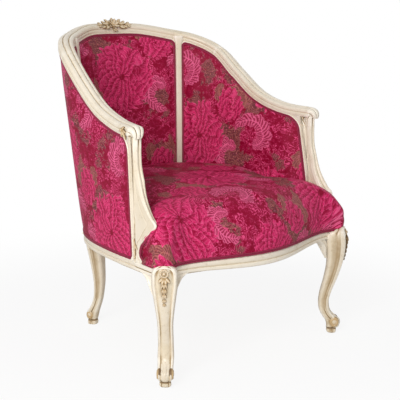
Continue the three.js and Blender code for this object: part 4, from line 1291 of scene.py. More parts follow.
@dataclass
class BackStiles:
    """Painted uprights between the back panels."""

    bench: Bench
    guide: Guide
    width: float = 0.019
    flare: float = 0.012
    proud: float = 0.0035
    cover: float = 0.008
    gap: float = 0.002
    corners: tuple = (
        (-1, 1), (1, 1), (1, 0), (1, -0.62), (0.9, -0.86), (0.62, -0.98), (0, -1), (-0.62, -0.98),
        (-0.9, -0.86), (-1, -0.62), (-1, 0),
    )

    def build(self) -> None:
        """Makes both stiles: a rounded bar whose head spreads into the crest rail."""
        flat = closed_section(self.corners, 56)
        depth = (flat[None, :, 1:] + 1) / 2
        guide = self.guide
        behind = self.cover + self.gap
        rise = np.linspace(0, 1, 90)
        half = self.width / 2 + self.flare / 2 * smooth(rise, 0.92, 1) ** 1.5
        for word, side in SIDES:
            place, _, outward, _ = guide.rail(np.array([side * guide.stile]))
            height = mix(guide.rail_top, place[0, 2], rise)
            share = side * guide.stile_at(rise)
            across = np.cross(UP, outward[0])
            back = guide.wall(share, height, 0.001 + behind, 0.003 + behind)
            fore = guide.wall(share, height, guide.rail_thickness + self.proud,
                              guide.rail_width + self.proud)
            spread = across * flat[None, :, :1] * half[:, None, None]
            grid = mix(fore[:, None], back[:, None], depth) + spread
            self.bench.make(f"back_stile_rounded_{word}", tube(grid), Finish.PAINT, [f"back_stile_{word}"])


@dataclass
class SeatRails:
    """Moulded seat rails: a bead, a hollow and a rounded face, right round the chair."""

    bench: Bench
    guide: Guide
    rear_leg: float = 0.212
    rear_size: float = 0.050
    # Section as shares of the rebate's depth and of the moulded face's height.
    corners: tuple = (
        (-3.4, 0), (-0.9, 0), (-0.5, 0.0), (-0.22, 0.05), (-0.04, 0.13), (0, 0.24), (-0.03, 0.34),
        (-0.16, 0.4), (-0.24, 0.43), (-0.2, 0.47), (-0.08, 0.52), (-0.01, 0.62), (0, 0.74),
        (-0.05, 0.86), (-0.2, 0.95), (-0.5, 1), (-0.96, 1.02), (-1, 1.1), (-1, 2.1), (-1.05, 2.166),
        (-3.35, 2.166), (-3.4, 2.1), (-3.4, 0.1),
    )

    def _swept(self, place: Array, outward: Array, drop: Array) -> Skin:
        """The rail's section carried along places, its lower edge drawn down by a drop."""
        guide = self.guide
        flat = closed_section(self.corners, 150) * [guide.rebate_depth, guide.show_height]
        share = np.maximum(0, 1 - flat[:, 1] / guide.show_height)
        low = np.where(flat[:, 0] > -guide.rebate_depth, share, 0)
        points = place[:, None] + outward[:, None] * flat[None, :, :1]
        points[..., 2] = guide.seat_rail_base + flat[None, :, 1] - drop[:, None] * low[None, :]
        return tube(points)

    def build(self) -> None:
        """Makes the front rail, both side rails and the rear rail."""
        guide = self.guide
        back = guide.knee_width / 4
        x = np.linspace(-1, 1, 180) * (guide.front_leg_span - back)
        place, outward = guide.front(x)
        skin = self._swept(place, outward, guide.front_drop * guide.bump(x))
        self.bench.make("front_rail_moulded", skin, Finish.PAINT, ["front_seat_rail"])
        overlap = self.rear_size / 4 / guide.half_run
        for word, side in SIDES:
            end = guide.side_end - back / guide.knuckle_reach
            share = side * np.linspace(self.rear_leg + overlap, end, 150)
            place, _, outward, _ = guide.seat(share)
            skin = self._swept(place, outward, np.zeros(len(share)))
            self.bench.make(f"side_rail_moulded_{word}", skin, Finish.PAINT, [f"side_seat_rail_{word}"])
        end = self.rear_leg - overlap
        place, _, outward, _ = guide.seat(np.linspace(-end, end, 90))
        skin = self._swept(place, outward, np.zeros(len(place)))
        self.bench.make("rear_rail_moulded", skin, Finish.PAINT, ["rear_seat_rail"])


@dataclass(frozen=True)
class ToeSizes:
    """Sizes of a front leg's scrolled toe, in metres; a rear leg's toe is smaller by a share."""

    rear_share: float = 0.82
    hub_out: float = 0.0075
    rear_hub_out: float = 0.0125
    hub_height: float = 0.0365
    volute: float = 0.0125
    volute_turns: tuple = (-2.2, 7.9)
    volute_aside: float = 0.0160
    volute_flare: float = 0.0034
    volute_wire: float = 0.0034
    eye: float = 0.0026
    eye_aside: float = 0.0196
    cheek: float = 0.0142
    cheek_aside: float = 0.0146
    cheek_rise: float = 0.0010
    girdle_out: float = 0.0014
    rear_girdle_out: float = 0.009
    girdle: tuple = (0.0142, 0.0140)
    girdle_height: float = 0.0180
    girdle_wire: float = 0.0012
    petal_heights: tuple = (0.074, 0.0245)
    # Distance aside, width, and rows left out at the top of each petal.
    petals: tuple = ((0.0, 0.0046, 4), (-0.0098, 0.0030, 6), (0.0098, 0.0030, 6))
    petal_sink: float = 0.0006


@dataclass(frozen=True)
class KneeSizes:
    """Sizes of a front leg's carved knee, in metres."""

    rosette_height: float = 0.2985
    hoop: float = 0.0086
    hoop_wire: float = 0.0021
    heart: float = 0.0048
    petals: int = 8
    petal_turn: float = 0.39
    petal: tuple = (0.0058, 0.0060, 0.0022)
    petal_out: float = 0.0072
    # Lean and length of the leaves of the bow below the rosette.
    bow: tuple = ((-1.15, 0.0185), (1.15, 0.0185), (-0.42, 0.017), (0.42, 0.017))
    bow_fall: float = 0.0100
    sink: float = 0.0004
    husk_heights: tuple = (0.277, 0.263, 0.249, 0.236, 0.2245)
    husk_lessens: float = 0.11
    # Lean and length of the three leaves of a husk.
    husk: tuple = ((0, 0.0150), (-0.75, 0.0140), (0.75, 0.0140))
    husk_width: float = 0.0078
    husk_depth: float = 0.0050
    husk_seed: float = 0.0030
    arch_foot: float = 0.290
    arch_rise: float = 0.0220
    arch_reach: float = 0.0243
    arch_wire: float = 0.0021


@dataclass(frozen=True)
class BracketSizes:
    """Sizes of the hollow corners between the legs and the rails, in metres."""

    # Section: along the corner's depth and out of the rail's face.
    section: tuple = (
        (0, -0.022), (0, -0.004), (0.0004, -0.0012), (0.0018, 0.0006), (0.0034, 0.0010),
        (0.005, 0.0002), (0.0058, -0.0018), (0.0072, -0.0034), (0.018, -0.004), (0.018, -0.022),
    )
    # Curve of its edge: along the rail from the leg, and up from the rail's underside.
    run: tuple = (
        (0.052, 0.0035), (0.038, 0.0015), (0.024, -0.004), (0.012, -0.013), (0.004, -0.026),
        (-0.003, -0.041), (-0.012, -0.056),
    )
    rows: int = 40
    fade: float = 0.7
    sink: float = 0.006
    rear_share: float = 0.7
    front_aside: float = 0.0375
    side_aside: float = 0.031
    rear_aside: float = 0.0205


@dataclass
class Legs:
    """Cabriole legs: a beaded section that swells at the knee and rolls out at the toe."""

    bench: Bench
    guide: Guide
    toes: ToeSizes = ToeSizes()
    knees: KneeSizes = KneeSizes()
    corners: BracketSizes = BracketSizes()
    front_height: float = 0.326
    knee_depth: float = 0.064
    front_sweep: float = 0.027
    rear_share: float = 0.212
    rear_inset: float = 0.016
    rear_size: float = 0.050
    rear_sweep: float = 0.015
    head_width: float = 0.042
    # Height, sweep, depth and width from the floor up, as shares of a leg's sizes.
    front_rows: tuple = (
        (0, 0.05, 0.12, 0.14), (0.004, 0.05, 0.27, 0.28), (0.014, 0.05, 0.41, 0.41),
        (0.026, 0.05, 0.46, 0.46), (0.038, 0.05, 0.45, 0.44), (0.048, 0.05, 0.41, 0.40),
        (0.053, 0.06, 0.40, 0.39), (0.060, 0.12, 0.52, 0.46), (0.085, 0.22, 0.62, 0.55),
        (0.115, 0.16, 0.66, 0.57), (0.15, -0.18, 0.60, 0.59), (0.19, -0.56, 0.53, 0.61),
        (0.24, -0.80, 0.50, 0.625), (0.295, -0.86, 0.49, 0.60), (0.37, -0.7, 0.53, 0.59),
        (0.51, -0.17, 0.64, 0.6), (0.63, 0.18, 0.74, 0.73), (0.73, 0.31, 0.84, 0.86),
        (0.83, 0.29, 0.94, 0.98), (0.895, 0.22, 0.95, 0.98), (0.922, 0.26, 0.86, 0.93),
        (0.942, 0.40, 0.68, 0.84), (0.957, 0.50, 0.55, 0.66), (0.968, 0.56, 0.45, 0.42),
        (0.973, 0.58, 0.36, 0.12),
    )
    rear_rows: tuple = (
        (0, 0.55, 0.42, 0.44), (0.008, 0.6, 0.54, 0.54), (0.028, 0.6, 0.57, 0.56),
        (0.040, 0.6, 0.52, 0.52), (0.048, 0.6, 0.50, 0.50), (0.064, 0.66, 0.60, 0.58),
        (0.09, 0.66, 0.68, 0.64), (0.125, 0.48, 0.68, 0.65), (0.17, 0.05, 0.60, 0.61),
        (0.225, -0.42, 0.55, 0.58), (0.3, -0.8, 0.54, 0.57), (0.43, -1, 0.62, 0.64),
        (0.63, -0.65, 0.8, 0.8), (0.83, -0.15, 0.97, 0.97), (1, 0, 1, 1),
    )
    # Right half of the section, from the middle of its front to the middle of its back.
    half_section: tuple = (
        (0, 0.485), (0.14, 0.46), (0.26, 0.385), (0.3, 0.355), (0.325, 0.37), (0.36, 0.41),
        (0.41, 0.415), (0.455, 0.36), (0.49, 0.24), (0.5, 0.12), (0.49, 0.05), (0.455, 0.01),
        (0.465, -0.04), (0.47, -0.12), (0.45, -0.25), (0.42, -0.34), (0.33, -0.44), (0.2, -0.48),
        (0, -0.49),
    )

    def section(self) -> Array:
        """Corners of a leg's section, across and out, as shares of its width and depth."""
        return symmetric(self.half_section, -9)

    def stand(self, kind: str, side: int) -> tuple[Array, Array, Array]:
        """Foot centre of a leg, the direction that it faces and the direction across it."""
        if kind == "front":
            place = np.array([side * self.guide.front_leg_span, -self.guide.front_leg_reach, 0.0])
            outward = unit(np.array([side, -1.0, 0.0]))
        else:
            place, _, outward, _ = self.guide.seat(np.array([side * self.rear_share]))
            place, outward = place[0] - outward[0] * self.rear_inset, outward[0]
        return place, outward, np.cross(UP, outward)

    def rows(self, kind: str) -> Array:
        """Heights, sweeps, depths and widths of a leg from the floor up, in metres."""
        if kind == "front":
            scale = [self.front_height, self.front_sweep, self.knee_depth, self.guide.knee_width]
            return Curve(self.front_rows).even(170) * scale
        scale = [self.guide.show_top, self.rear_sweep, self.rear_size, self.rear_size]
        return Curve(self.rear_rows).even(130) * scale

    def shaft(self, kind: str, side: int) -> Skin:
        """A leg's skin: its section scaled row by row and pushed in or out by the sweep."""
        place, outward, across = self.stand(kind, side)
        height, sweep, depth, width = self.rows(kind).T
        flat = closed_section(self.section(), 120)
        centre = place + outward * sweep[:, None]
        centre[:, 2] = height
        grid = centre[:, None] + across * (flat[None, :, :1] * width[:, None, None])
        grid = grid + outward * (flat[None, :, 1:] * depth[:, None, None])
        skin = tube(grid)
        skin.tone = np.concatenate([self.glaze_and_painted_shade(kind, height, flat).ravel(), [0, 0]])
        return skin

    def glaze_and_painted_shade(self, kind: str, height: Array, flat: Array) -> Array:
        """How dark a leg's paint is: glaze and painted shade in the knee's sunk field round its carving,
        darker towards the floor at the foot, and painted shade on the flanks.

        Args:
            kind: Front or rear.
            height: Heights of its rows.
            flat: Its section as shares of its width and depth.

        Returns:
            Rows by points of the section.
        """
        sunk = np.zeros((len(height), len(flat)))
        if kind == "front":
            # Glaze and painted shade in the sunk field round the knee's carving.
            level = smooth(height, 0.215, 0.255) * (1 - smooth(height, 0.312, 0.322))
            sunk = level[:, None] * (np.exp(-(flat[:, 0] / 0.22) ** 4) * (flat[:, 1] > 0))[None, :]
        # The foot is darker towards the floor, and the flanks are painted darker as shade.
        foot = 1 - smooth(height, 0.014, 0.070)
        aside = smooth(np.abs(flat[:, 0]), 0.40, 0.5) * (flat[:, 1] < 0.2)
        return 0.04 + 0.5 * sunk + 0.40 * foot[:, None] + 0.48 * aside[None, :]

    def head(self, kind: str, side: int) -> Skin:
        """The square block over a leg that the rails are tenoned into."""
        place, outward, across = self.stand(kind, side)
        depth, setback, top = 0.040, 0.012, self.front_height - 0.030
        if kind == "rear":
            depth, setback, top = 0.030, 0.008, self.guide.rail_top
        corner = np.array([[-1, -1], [1, -1], [1, 1], [-1, 1]]) / 2 * [self.head_width, depth]
        ring = place - outward * setback + across * corner[:, :1] + outward * corner[:, 1:]
        return tube(np.stack([ring + UP * z for z in (self.guide.seat_rail_base, top)]))

    def on_face(self, kind: str, side: int, height: Sequence[float] | Array,
                aside: Array | float = 0.0) -> tuple[Array, Array]:
        """Places on a leg's face and the face's normals there.

        Args:
            kind: Front or rear.
            side: -1 for left, 1 for right.
            height: Heights above the floor.
            aside: Distances aside of the face's middle.

        Returns:
            The places and the normals, one row for each height.
        """
        place, outward, across = self.stand(kind, side)
        rows = self.rows(kind)
        corners = self.section()
        front = corners[corners[:, 1] > 0.1]
        front = front[np.argsort(front[:, 0])]
        height = np.asarray(height, float)
        aside = np.broadcast_to(np.asarray(aside, float), height.shape)

        def at(z: Array) -> Array:
            """Places on the face at heights."""
            sweep, depth, width = (np.interp(z, rows[:, 0], rows[:, k]) for k in (1, 2, 3))
            reach = sweep + depth * np.interp(aside / width, front[:, 0], front[:, 1])
            return place + outward * reach[:, None] + across * aside[:, None] + UP * z[:, None]

        slope = unit(at(height - 0.004) - at(height + 0.004))
        return at(height), unit(np.cross(slope, np.broadcast_to(across, slope.shape)))

    def toe(self, kind: str, side: int) -> Skin:
        """A scrolled toe: a volute on each flank of the foot, petals between them and a ring."""
        toe, rear = self.toes, kind == "rear"
        size = toe.rear_share if rear else 1.0
        place, outward, across = self.stand(kind, side)
        hub = place + outward * (toe.rear_hub_out if rear else toe.hub_out)
        hub = hub + UP * (toe.hub_height * size)
        turn = np.linspace(*toe.volute_turns, 90)
        fade = (turn - turn[0]) / (turn[-1] - turn[0])
        reach = toe.volute * size * (1 - 0.84 * fade ** 0.8)
        curl = around(outward, UP, turn[:, None]) * reach[:, None]
        wire = toe.volute_wire * size * (1 - 0.5 * fade)
        skins = []
        for hand in (-1, 1):
            way = across * hand
            flare = toe.volute_aside + toe.volute_flare * fade[:, None] ** 0.7
            skins.append(rod(hub + way * size * flare + curl, wire, 1.3, across).toned(-0.45))
            skins.append(ball(hub + way * size * toe.eye_aside, toe.eye * size, way))
            cheek = hub + (way * toe.cheek_aside + UP * toe.cheek_rise) * size
            skins.append(ball(cheek, toe.cheek * size, way, 0.50))
        skins.append(self.girdle(kind, side, size))
        heights = np.linspace(*toe.petal_heights, 26) * size
        for aside, wide, first in toe.petals:
            t = np.linspace(0, 1, len(heights) - first)
            line, face = self.on_face(kind, side, heights[first:], aside * size * (1 - 0.3 * t))
            body = np.sin(np.pi * np.clip(0.03 + 0.93 * t ** 0.8, 0, 1)) ** 0.8
            lean = unit(outward + across * aside * 40)
            petal = rod(line - face * toe.petal_sink, wide * size * body, 0.5, lean)
            skins.append(petal.toned(-0.75))
        return join(skins)

    def girdle(self, kind: str, side: int, size: float) -> Skin:
        """The thin ring round a foot below its toe."""
        toe = self.toes
        place, outward, across = self.stand(kind, side)
        foot = place + outward * (toe.girdle_out if kind == "front" else toe.rear_girdle_out)
        angle = ring_turns(40)[:, None]
        line = around(outward * toe.girdle[0], across * toe.girdle[1], angle) * size
        path = foot + line + UP * toe.girdle_height * size
        return rod(path, toe.girdle_wire * size, 1.0, UP, True).toned(0.35)

    def knee(self, side: int) -> Skin:
        """A rosette under an arched bead, a bow of leaves, and a chain of bellflowers."""
        knee = self.knees
        across = self.stand("front", side)[2]
        rosette, face = (value[0] for value in self.on_face("front", side, [knee.rosette_height]))
        down = facing(unit(np.cross(across, face)), -UP)
        ring = rosette + around(across, down, ring_turns(32)[:, None]) * knee.hoop
        skins = [rod(ring + face * 0.0010, knee.hoop_wire, 1.0, face, True).toned(-0.6)]
        skins.append(ball(rosette + face * 0.0016, knee.heart, face))
        for turn in ring_turns(knee.petals) + knee.petal_turn:
            way = around(across, down, turn)
            base = rosette + way * knee.petal_out - face * knee.sink
            skins.append(Leaf(*knee.petal).skin(base, way, face))
        for lean, length in knee.bow:
            base = rosette + down * knee.bow_fall - face * knee.sink
            leaf = Leaf(length, 0.0100, 0.0048, 0, 0.10, -lean * 0.45)
            skins.append(leaf.skin(base, around(down, across, lean), face))
        bases, faces = self.on_face("front", side, knee.husk_heights)
        for number, (base, normal) in enumerate(zip(bases, faces)):
            size = 1 - knee.husk_lessens * number
            fall = facing(unit(np.cross(across, normal)), -UP)
            skins.append(ball(base + normal * 0.0004, knee.husk_seed * size, normal))
            for lean, length in knee.husk:
                leaf = Leaf(length * size, knee.husk_width * size, knee.husk_depth * size, 0, 0.14,
                            lean * -0.8)
                skins.append(leaf.skin(base - normal * 0.0002, around(fall, across, lean), normal))
        return join(skins)

    def arch(self, side: int) -> Skin:
        """The bead that runs up one edge of the knee, over its cap and down the other."""
        knee = self.knees
        t = np.linspace(0, math.pi, 60)
        height = knee.arch_foot + knee.arch_rise * np.sin(t) ** 0.75
        line, face = self.on_face("front", side, height, knee.arch_reach * np.cos(t))
        wire = knee.arch_wire * (0.3 + 0.7 * np.sin(t) ** 0.4)
        return rod(line + face * 0.0004, wire).toned(-0.2)

    def bracket(self, place: Array, outward: Array, along: Array, size: float) -> Skin:
        """A hollow corner between a leg and a rail, with a bead along its edge.

        A section is carried down a smooth curve that leaves the rail's underside level and
        ends on the leg's flank.

        Args:
            place: Point on the rail's face where it meets the leg.
            outward: Out of the rail's face.
            along: Along the rail, away from the leg.
            size: Size of the bracket beside the front ones.

        Returns:
            The skin.
        """
        sizes = self.corners
        t, drop = Curve(np.array(sizes.run) * size).even(sizes.rows).T
        base = place * [1, 1, 0] + UP * self.guide.seat_rail_base
        path = base + along * t[:, None] + UP * drop[:, None]
        way = directions(path)
        corner = facing(np.cross(np.broadcast_to(outward, way.shape), way), UP - along)
        share = np.linspace(0, 1, sizes.rows)
        fade = 1 - sizes.fade * smooth(share, 0.5, 1)
        sink = outward * (-sizes.sink * smooth(share, 0.55, 1))[:, None]
        face = np.broadcast_to(outward, path.shape)
        return tube(carried(np.array(sizes.section), path + sink, corner, face, fade))

    def brackets(self, kind: str, side: int) -> Skin:
        """The two brackets of a leg."""
        guide, sizes = self.guide, self.corners
        skins = []
        if kind == "front":
            x = side * (guide.front_leg_span - sizes.front_aside)
            place, outward = guide.front(np.array([x]))
            along = np.cross(UP, outward[0])
            along = along * -np.sign(along[0] * side)
            skins.append(self.bracket(place[0], outward[0], along, 1.0))
            size = 1.0
            ways = [(side * (guide.side_end - sizes.side_aside / guide.knuckle_reach), -1)]
        else:
            size = sizes.rear_share
            gap = sizes.rear_aside / guide.half_run
            ways = [(side * (self.rear_share + gap), 1), (side * (self.rear_share - gap), -1)]
        for share, way in ways:
            place, along, outward, _ = (value[0] for value in guide.seat(np.array([share])))
            skins.append(self.bracket(place, outward, along * way * side, size))
        return join(skins)

    def build(self) -> None:
        """Makes the four legs with their toes and brackets, and the carved knees."""
        make = self.bench.make
        for kind in ("front", "rear"):
            for word, side in SIDES:
                skin = join([self.shaft(kind, side), self.head(kind, side)])
                make(f"{kind}_leg_cabriole_{word}", skin, Finish.PAINT, [f"{kind}_leg_{word}"])
                make(f"{kind}_leg_brackets_{word}", self.brackets(kind, side), Finish.PAINT)
                make(f"{kind}_leg_toe_{word}", self.toe(kind, side), Finish.GILDING)
        for word, side in SIDES:
            make(f"knee_arch_{word}", self.arch(side), Finish.PAINT)
            make(f"knee_flowers_{word}", self.knee(side), Finish.GILDING, [f"knee_carving_{word}"])


@dataclass
class CrestFlower:
    """A full bloom on the crest with a spray of leaves to each side and a bud below."""

    bench: Bench
    guide: Guide
    tilt: float = math.radians(36)
    sink: float = 0.0065
    rise: float = 0.0112
    seeds: int = 8
    # For each ring of petals: first angle, length, width, lift and rise over the heart.
    rings: tuple = ((0.0, 0.0165, 0.0150, 0.30, 0.0), (0.52, 0.0125, 0.0115, 0.55, 0.0022))
    petals: int = 6
    # For each leaf of a side's spray: distance out, rise, lean, length and width.
    sprays: tuple = (
        (0.016, 0.003, 0.10, 0.027, 0.0135), (0.017, 0.007, 0.85, 0.017, 0.0110),
        (0.019, -0.004, -0.75, 0.019, 0.0115), (0.031, 0.004, 0.70, 0.015, 0.0100),
        (0.032, -0.003, -0.65, 0.017, 0.0105), (0.040, 0.001, 0.05, 0.024, 0.0105),
        (0.047, 0.003, 0.60, 0.013, 0.0085), (0.047, -0.002, -0.55, 0.014, 0.0085),
    )
    # Distance out and rise of each bud on a side.
    buds: tuple = ((0.022, 0.008), (0.027, 0.0), (0.037, 0.005), (0.028, -0.006), (0.048, 0.001))
    bud_leans: tuple = (-0.55, 0.0, 0.55)
    # How fast the spray falls away with the square of the distance out, following the crest.
    droop: float = 0.9

    def build(self) -> None:
        """Makes the carving from two rings of petals, seeds, leaves and buds."""
        place, _, outward, _ = (value[0] for value in self.guide.rail(np.array([0.0])))
        heart = place - outward * (self.guide.rail_width / 2 - self.sink) + UP * self.rise
        face = np.array([0, -math.cos(self.tilt), math.sin(self.tilt)])
        right = np.array([1.0, 0, 0])
        up = facing(np.cross(right, face), UP)
        skins = [ball(heart + face * 0.0045, 0.0048, face)]
        for turn in ring_turns(self.seeds):
            seed = heart + around(right, up, turn) * 0.0048 + face * 0.0052
            skins.append(ball(seed, 0.0018, face))
        for first, length, width, lift, rise in self.rings:
            for turn in ring_turns(self.petals) + first + math.pi / 2:
                way = around(right, up, turn)
                leaf = Leaf(length, width, 0.0040, 0, lift)
                skins.append(leaf.skin(heart + way * 0.0035 + face * rise, way, face))
        for side in (-1, 1):
            aside = right * side
            for out, rise, lean, length, width in self.sprays:
                fall = rise - 0.003 - self.droop * out * out
                base = heart + aside * out + up * fall + face * 0.0030
                leaf = Leaf(length, width, 0.0036, 4, 0.14, -0.3 * side * (1 if lean > 0 else -1))
                skins.append(leaf.skin(base, around(aside, up, lean), face))
            for out, rise in self.buds:
                fall = rise - 0.002 - self.droop * out * out
                bud = heart + aside * out + up * fall + face * 0.0048
                skins.append(ball(bud, 0.0031 - 0.02 * (out - self.buds[0][0]), face))
        for lean in self.bud_leans:
            leaf = Leaf(0.015, 0.0080, 0.0032, 3, 0.05)
            skins.append(leaf.skin(heart - up * 0.011, around(-up, right, lean), face))
        self.bench.make("crest_flower_carved", join(skins), Finish.GILDING, ["crest_flower"])


# Upholstery


PAD_RINGS = np.concatenate([np.linspace(0.03, 0.86, 32), np.linspace(0.86, 1, 14)[1:]])


@dataclass
class Walls:
    """Damask panels between the top rail and the seat: three inside pads, three outer covers."""

    bench: Bench
    guide: Guide
    inside_end: float = 0.950
    inside_lean: float = 0.075
    outside_end: float = 0.985
    crown: float = 0.016
    stile_room: float = 0.0098
    top_gap: float = 0.0014
    hessian: float = 0.0012
    soft_gap: float = 0.0008
    skirt_inset: float = 0.001
    cover_inset: float = 0.003
    cover: float = 0.008
    pad_inset: float = 0.022
    pad: float = 0.012
    stile_corner: float = 0.015
    foot_corner: float = 0.014
    arm_corner: float = 0.036

    def share(self, name: str, s: Array, h: Array, inner: bool) -> Array:
        """Share of the path at places in a panel; the inside ones lean forward with the posts."""
        inset = self.stile_room if inner else self.soft_gap / 2
        end = self.inside_end if inner else self.outside_end
        stile = self.guide.stile_at(h)
        trim = inset / self.guide.half_run
        if name == "centre":
            return mix(trim - stile, stile - trim, s)
        if inner:
            end = np.minimum(end + self.inside_lean * (1 - h), 1.03)
        return (-1 if name == "left" else 1) * mix(stile + trim, end, s)

    def surface(self, name: str, s: Array, h: Array, inner: bool, depths: tuple[float, float],
                swell: Array) -> tuple[Array, Array]:
        """Places on a panel and their cloth coordinates, for shares s across and h up."""
        foot = (self.guide.rail_top + self.hessian + 2 * self.soft_gap) if inner else (
            self.guide.show_top + self.soft_gap)
        share = self.share(name, s, h, inner)
        top = self.guide.underside(share) - self.top_gap
        height = mix(foot, top, h)
        place = self.guide.wall(share, height, *depths)
        _, _, outward, _ = self.guide.seat(share)
        cloth = np.stack([share * self.guide.half_run, height], axis=1)
        return place - outward * swell[:, None], cloth

    def sizes(self, name: str, inner: bool) -> tuple[float, float, float]:
        """A panel's width, its height beside the stile and its height at its other end."""
        s, h = np.array([0.0, 1.0]), np.array([0.5, 0.5])
        share = self.share(name, s, h, inner)
        width = float(np.abs(share[1] - share[0]) * self.guide.half_run)
        height = self.guide.underside(share) - self.guide.rail_top
        return width, float(height[0]), float(height[1])

    def outline(self, name: str, inner: bool, inset: float, sharp: bool = False) -> Array:
        """A panel's border in its own shares: straight edges joined by quarter circles.

        Args:
            name: The panel.
            inner: It faces the seat.
            inset: How far inside the panel's edge the border runs, in metres.
            sharp: Its corners aren't rounded.

        Returns:
            Shares across and up, one row for each place, the same count for every inset.
        """
        width, first, last = self.sizes(name, inner)
        stile = (self.stile_corner, self.stile_corner)
        far = stile if name == "centre" else (self.foot_corner, self.arm_corner)
        corners = ((stile[0], first, 0, 0), (far[0], last, 1, 0), (far[1], last, 1, 1),
                   (stile[1], first, 0, 1))
        arcs = []
        for number, (radius, height, s, h) in enumerate(corners):
            kept = 0.0005 if sharp else max(radius - inset, 0.0005)
            turn = math.pi * (1 + number / 2) + np.linspace(0, math.pi / 2, 16)
            ds = (1 - 2 * s) * (inset + kept) + kept * np.cos(turn)
            dh = (1 - 2 * h) * (inset + kept) + kept * np.sin(turn)
            arcs.append(np.stack([s + ds / width, h + dh / height], axis=1))
        parts = []
        for number, arc in enumerate(arcs):
            after = arcs[(number + 1) % 4]
            parts.append(arc)
            parts.append(mix(arc[-1], after[0], np.linspace(0, 1, 42)[1:-1, None]))
        return np.vstack(parts)

    def depths(self, inner: bool, proud: float) -> tuple[float, float]:
        """Depths of a panel's face in the wall, stood proud towards whoever looks at it."""
        if inner:
            return self.guide.rail_thickness + proud, self.guide.rail_width - self.cover_inset + proud
        return self.skirt_inset - proud, self.cover_inset - proud

    def line(self, name: str, inner: bool, inset: float, proud: float, sharp: bool = False) -> Array:
        """Places round a panel's border."""
        s, h = self.outline(name, inner, inset, sharp).T
        return self.surface(name, s, h, inner, self.depths(inner, proud), np.zeros(len(s)))[0]

    def panel(self, name: str, inner: bool) -> Skin:
        """A closed pad: rings from its middle to its border, over the rim and back."""
        border = self.outline(name, inner, 0.0004)
        rings = PAD_RINGS
        s = 0.5 + rings[:, None] * (border[None, :, 0] - 0.5)
        h = 0.5 + rings[:, None] * (border[None, :, 1] - 0.5)
        guide = self.guide
        if inner:
            rear = (self.pad_inset, guide.rail_width - self.cover_inset - self.pad)
        else:
            thick = self.cover - self.soft_gap
            rear = (self.skirt_inset + thick, self.cover_inset + thick)
        lift = self.crown if inner else -0.0035
        tuck = 0.0022 * smooth(rings, 0.965, 1) * (1 if inner else -1)
        swell = np.broadcast_to((lift * (1 - rings ** 5) - tuck)[:, None], s.shape)
        face, cloth = self.surface(name, s.ravel(), h.ravel(), inner, self.depths(inner, 0), swell.ravel())
        back, back_cloth = self.surface(name, s[::-4].ravel(), h[::-4].ravel(), inner, rear,
                                        np.zeros(s[::-4].size))
        columns = len(border)
        grid = np.concatenate([face.reshape(-1, columns, 3), back.reshape(-1, columns, 3)])
        skin = tube(grid)
        ends = np.stack([cloth[:columns].mean(0), back_cloth[-columns:].mean(0)])
        skin.cloth = np.vstack([cloth, back_cloth, ends])
        return skin

    def held(self, count: int) -> Array:
        """How firmly a pad's points are sewn: firm from just inside the cord round to the back."""
        columns = (count - 2) // (len(PAD_RINGS) + len(PAD_RINGS[::-4]))
        ring = np.repeat(smooth(PAD_RINGS, 0.88, 0.97), columns)
        return np.concatenate([ring, np.ones(count - len(ring) - 2), [0, 1]])

    def surround(self, name: str, inner: bool) -> Skin:
        """Painted wood that fills a panel's corners: a small bead round it and a flat beyond."""
        loop = ((0.0006, -0.006, False), (0.0004, -0.0008, False), (-0.0004, 0.0008, False),
                (-0.0014, 0.0017, False), (-0.0026, 0.0017, False), (-0.0036, 0.0008, False),
                (-0.0042, -0.0004, False), (-0.0050, 0.0002, False), (-0.0058, 0.0002, True),
                (-0.0060, -0.006, True))
        rows = [self.line(name, inner, inset, proud + 0.0006, sharp) for inset, proud, sharp in loop]
        return tube(np.stack(rows, axis=1), True)

    def build(self) -> None:
        """Makes the six panels, the painted edge round each and its double cord."""
        cords = Cords(self.bench)
        pads = (("centre", "inside_back_pad"), ("left", "inside_side_pad_left"),
                ("right", "inside_side_pad_right"))
        covers = (("centre", "outer_back_cover"), ("left", "outer_side_cover_left"),
                  ("right", "outer_side_cover_right"))
        for inner, names in ((True, pads), (False, covers)):
            for name, node in names:
                skin = self.panel(name, inner)
                piece = self.bench.make(f"{node}_damask", skin, Finish.FABRIC, [node], 80)
                if inner:
                    Stuffing().swell(piece, self.held(len(skin.points)))
                self.bench.make(f"{node}_surround", self.surround(name, inner), Finish.PAINT)
                inside = self.line(name, inner, 0.0052, 0.0008)
                outside = self.line(name, inner, 0.0014, 0.0008)
                cords.pair(f"{node}_cord", outside, inside, True)


@dataclass
class Cords:
    """Double cord sewn along the edges of the damask: two covered cords side by side."""

    bench: Bench
    radius: float = 0.0021
    points: int = 12

    def rope(self, path: Array, closed: bool) -> Skin:
        """One cord: a round section carried along its line."""
        along = directions(path, closed)
        side = unit(np.cross(along, SKEW))
        other = np.cross(along, side)
        turn = ring_turns(self.points)
        ring = np.stack([np.cos(turn), np.sin(turn)], axis=1) * self.radius
        return tube(carried(ring, path, side, other), closed)

    def pair(self, name: str, first: Array, second: Array, closed: bool) -> None:
        """Makes two cords along two lines, with their cloth coordinates along the cord."""
        skins = [self.rope(path, closed) for path in (first, second)]
        clothes = []
        for path, skin in zip((first, second), skins):
            turn = np.linspace(0, 1, self.points, endpoint=False)
            pair = np.broadcast_arrays(reach_along(path)[:, None], turn[None, :])
            grid = np.stack(pair, axis=-1).reshape(-1, 2)
            spare = np.repeat(grid[:1], len(skin.points) - len(grid), axis=0)
            clothes.append(np.vstack([grid, spare]))
        whole = join(skins)
        whole.cloth = np.vstack(clothes)
        self.bench.make(name, whole, Finish.CORD)


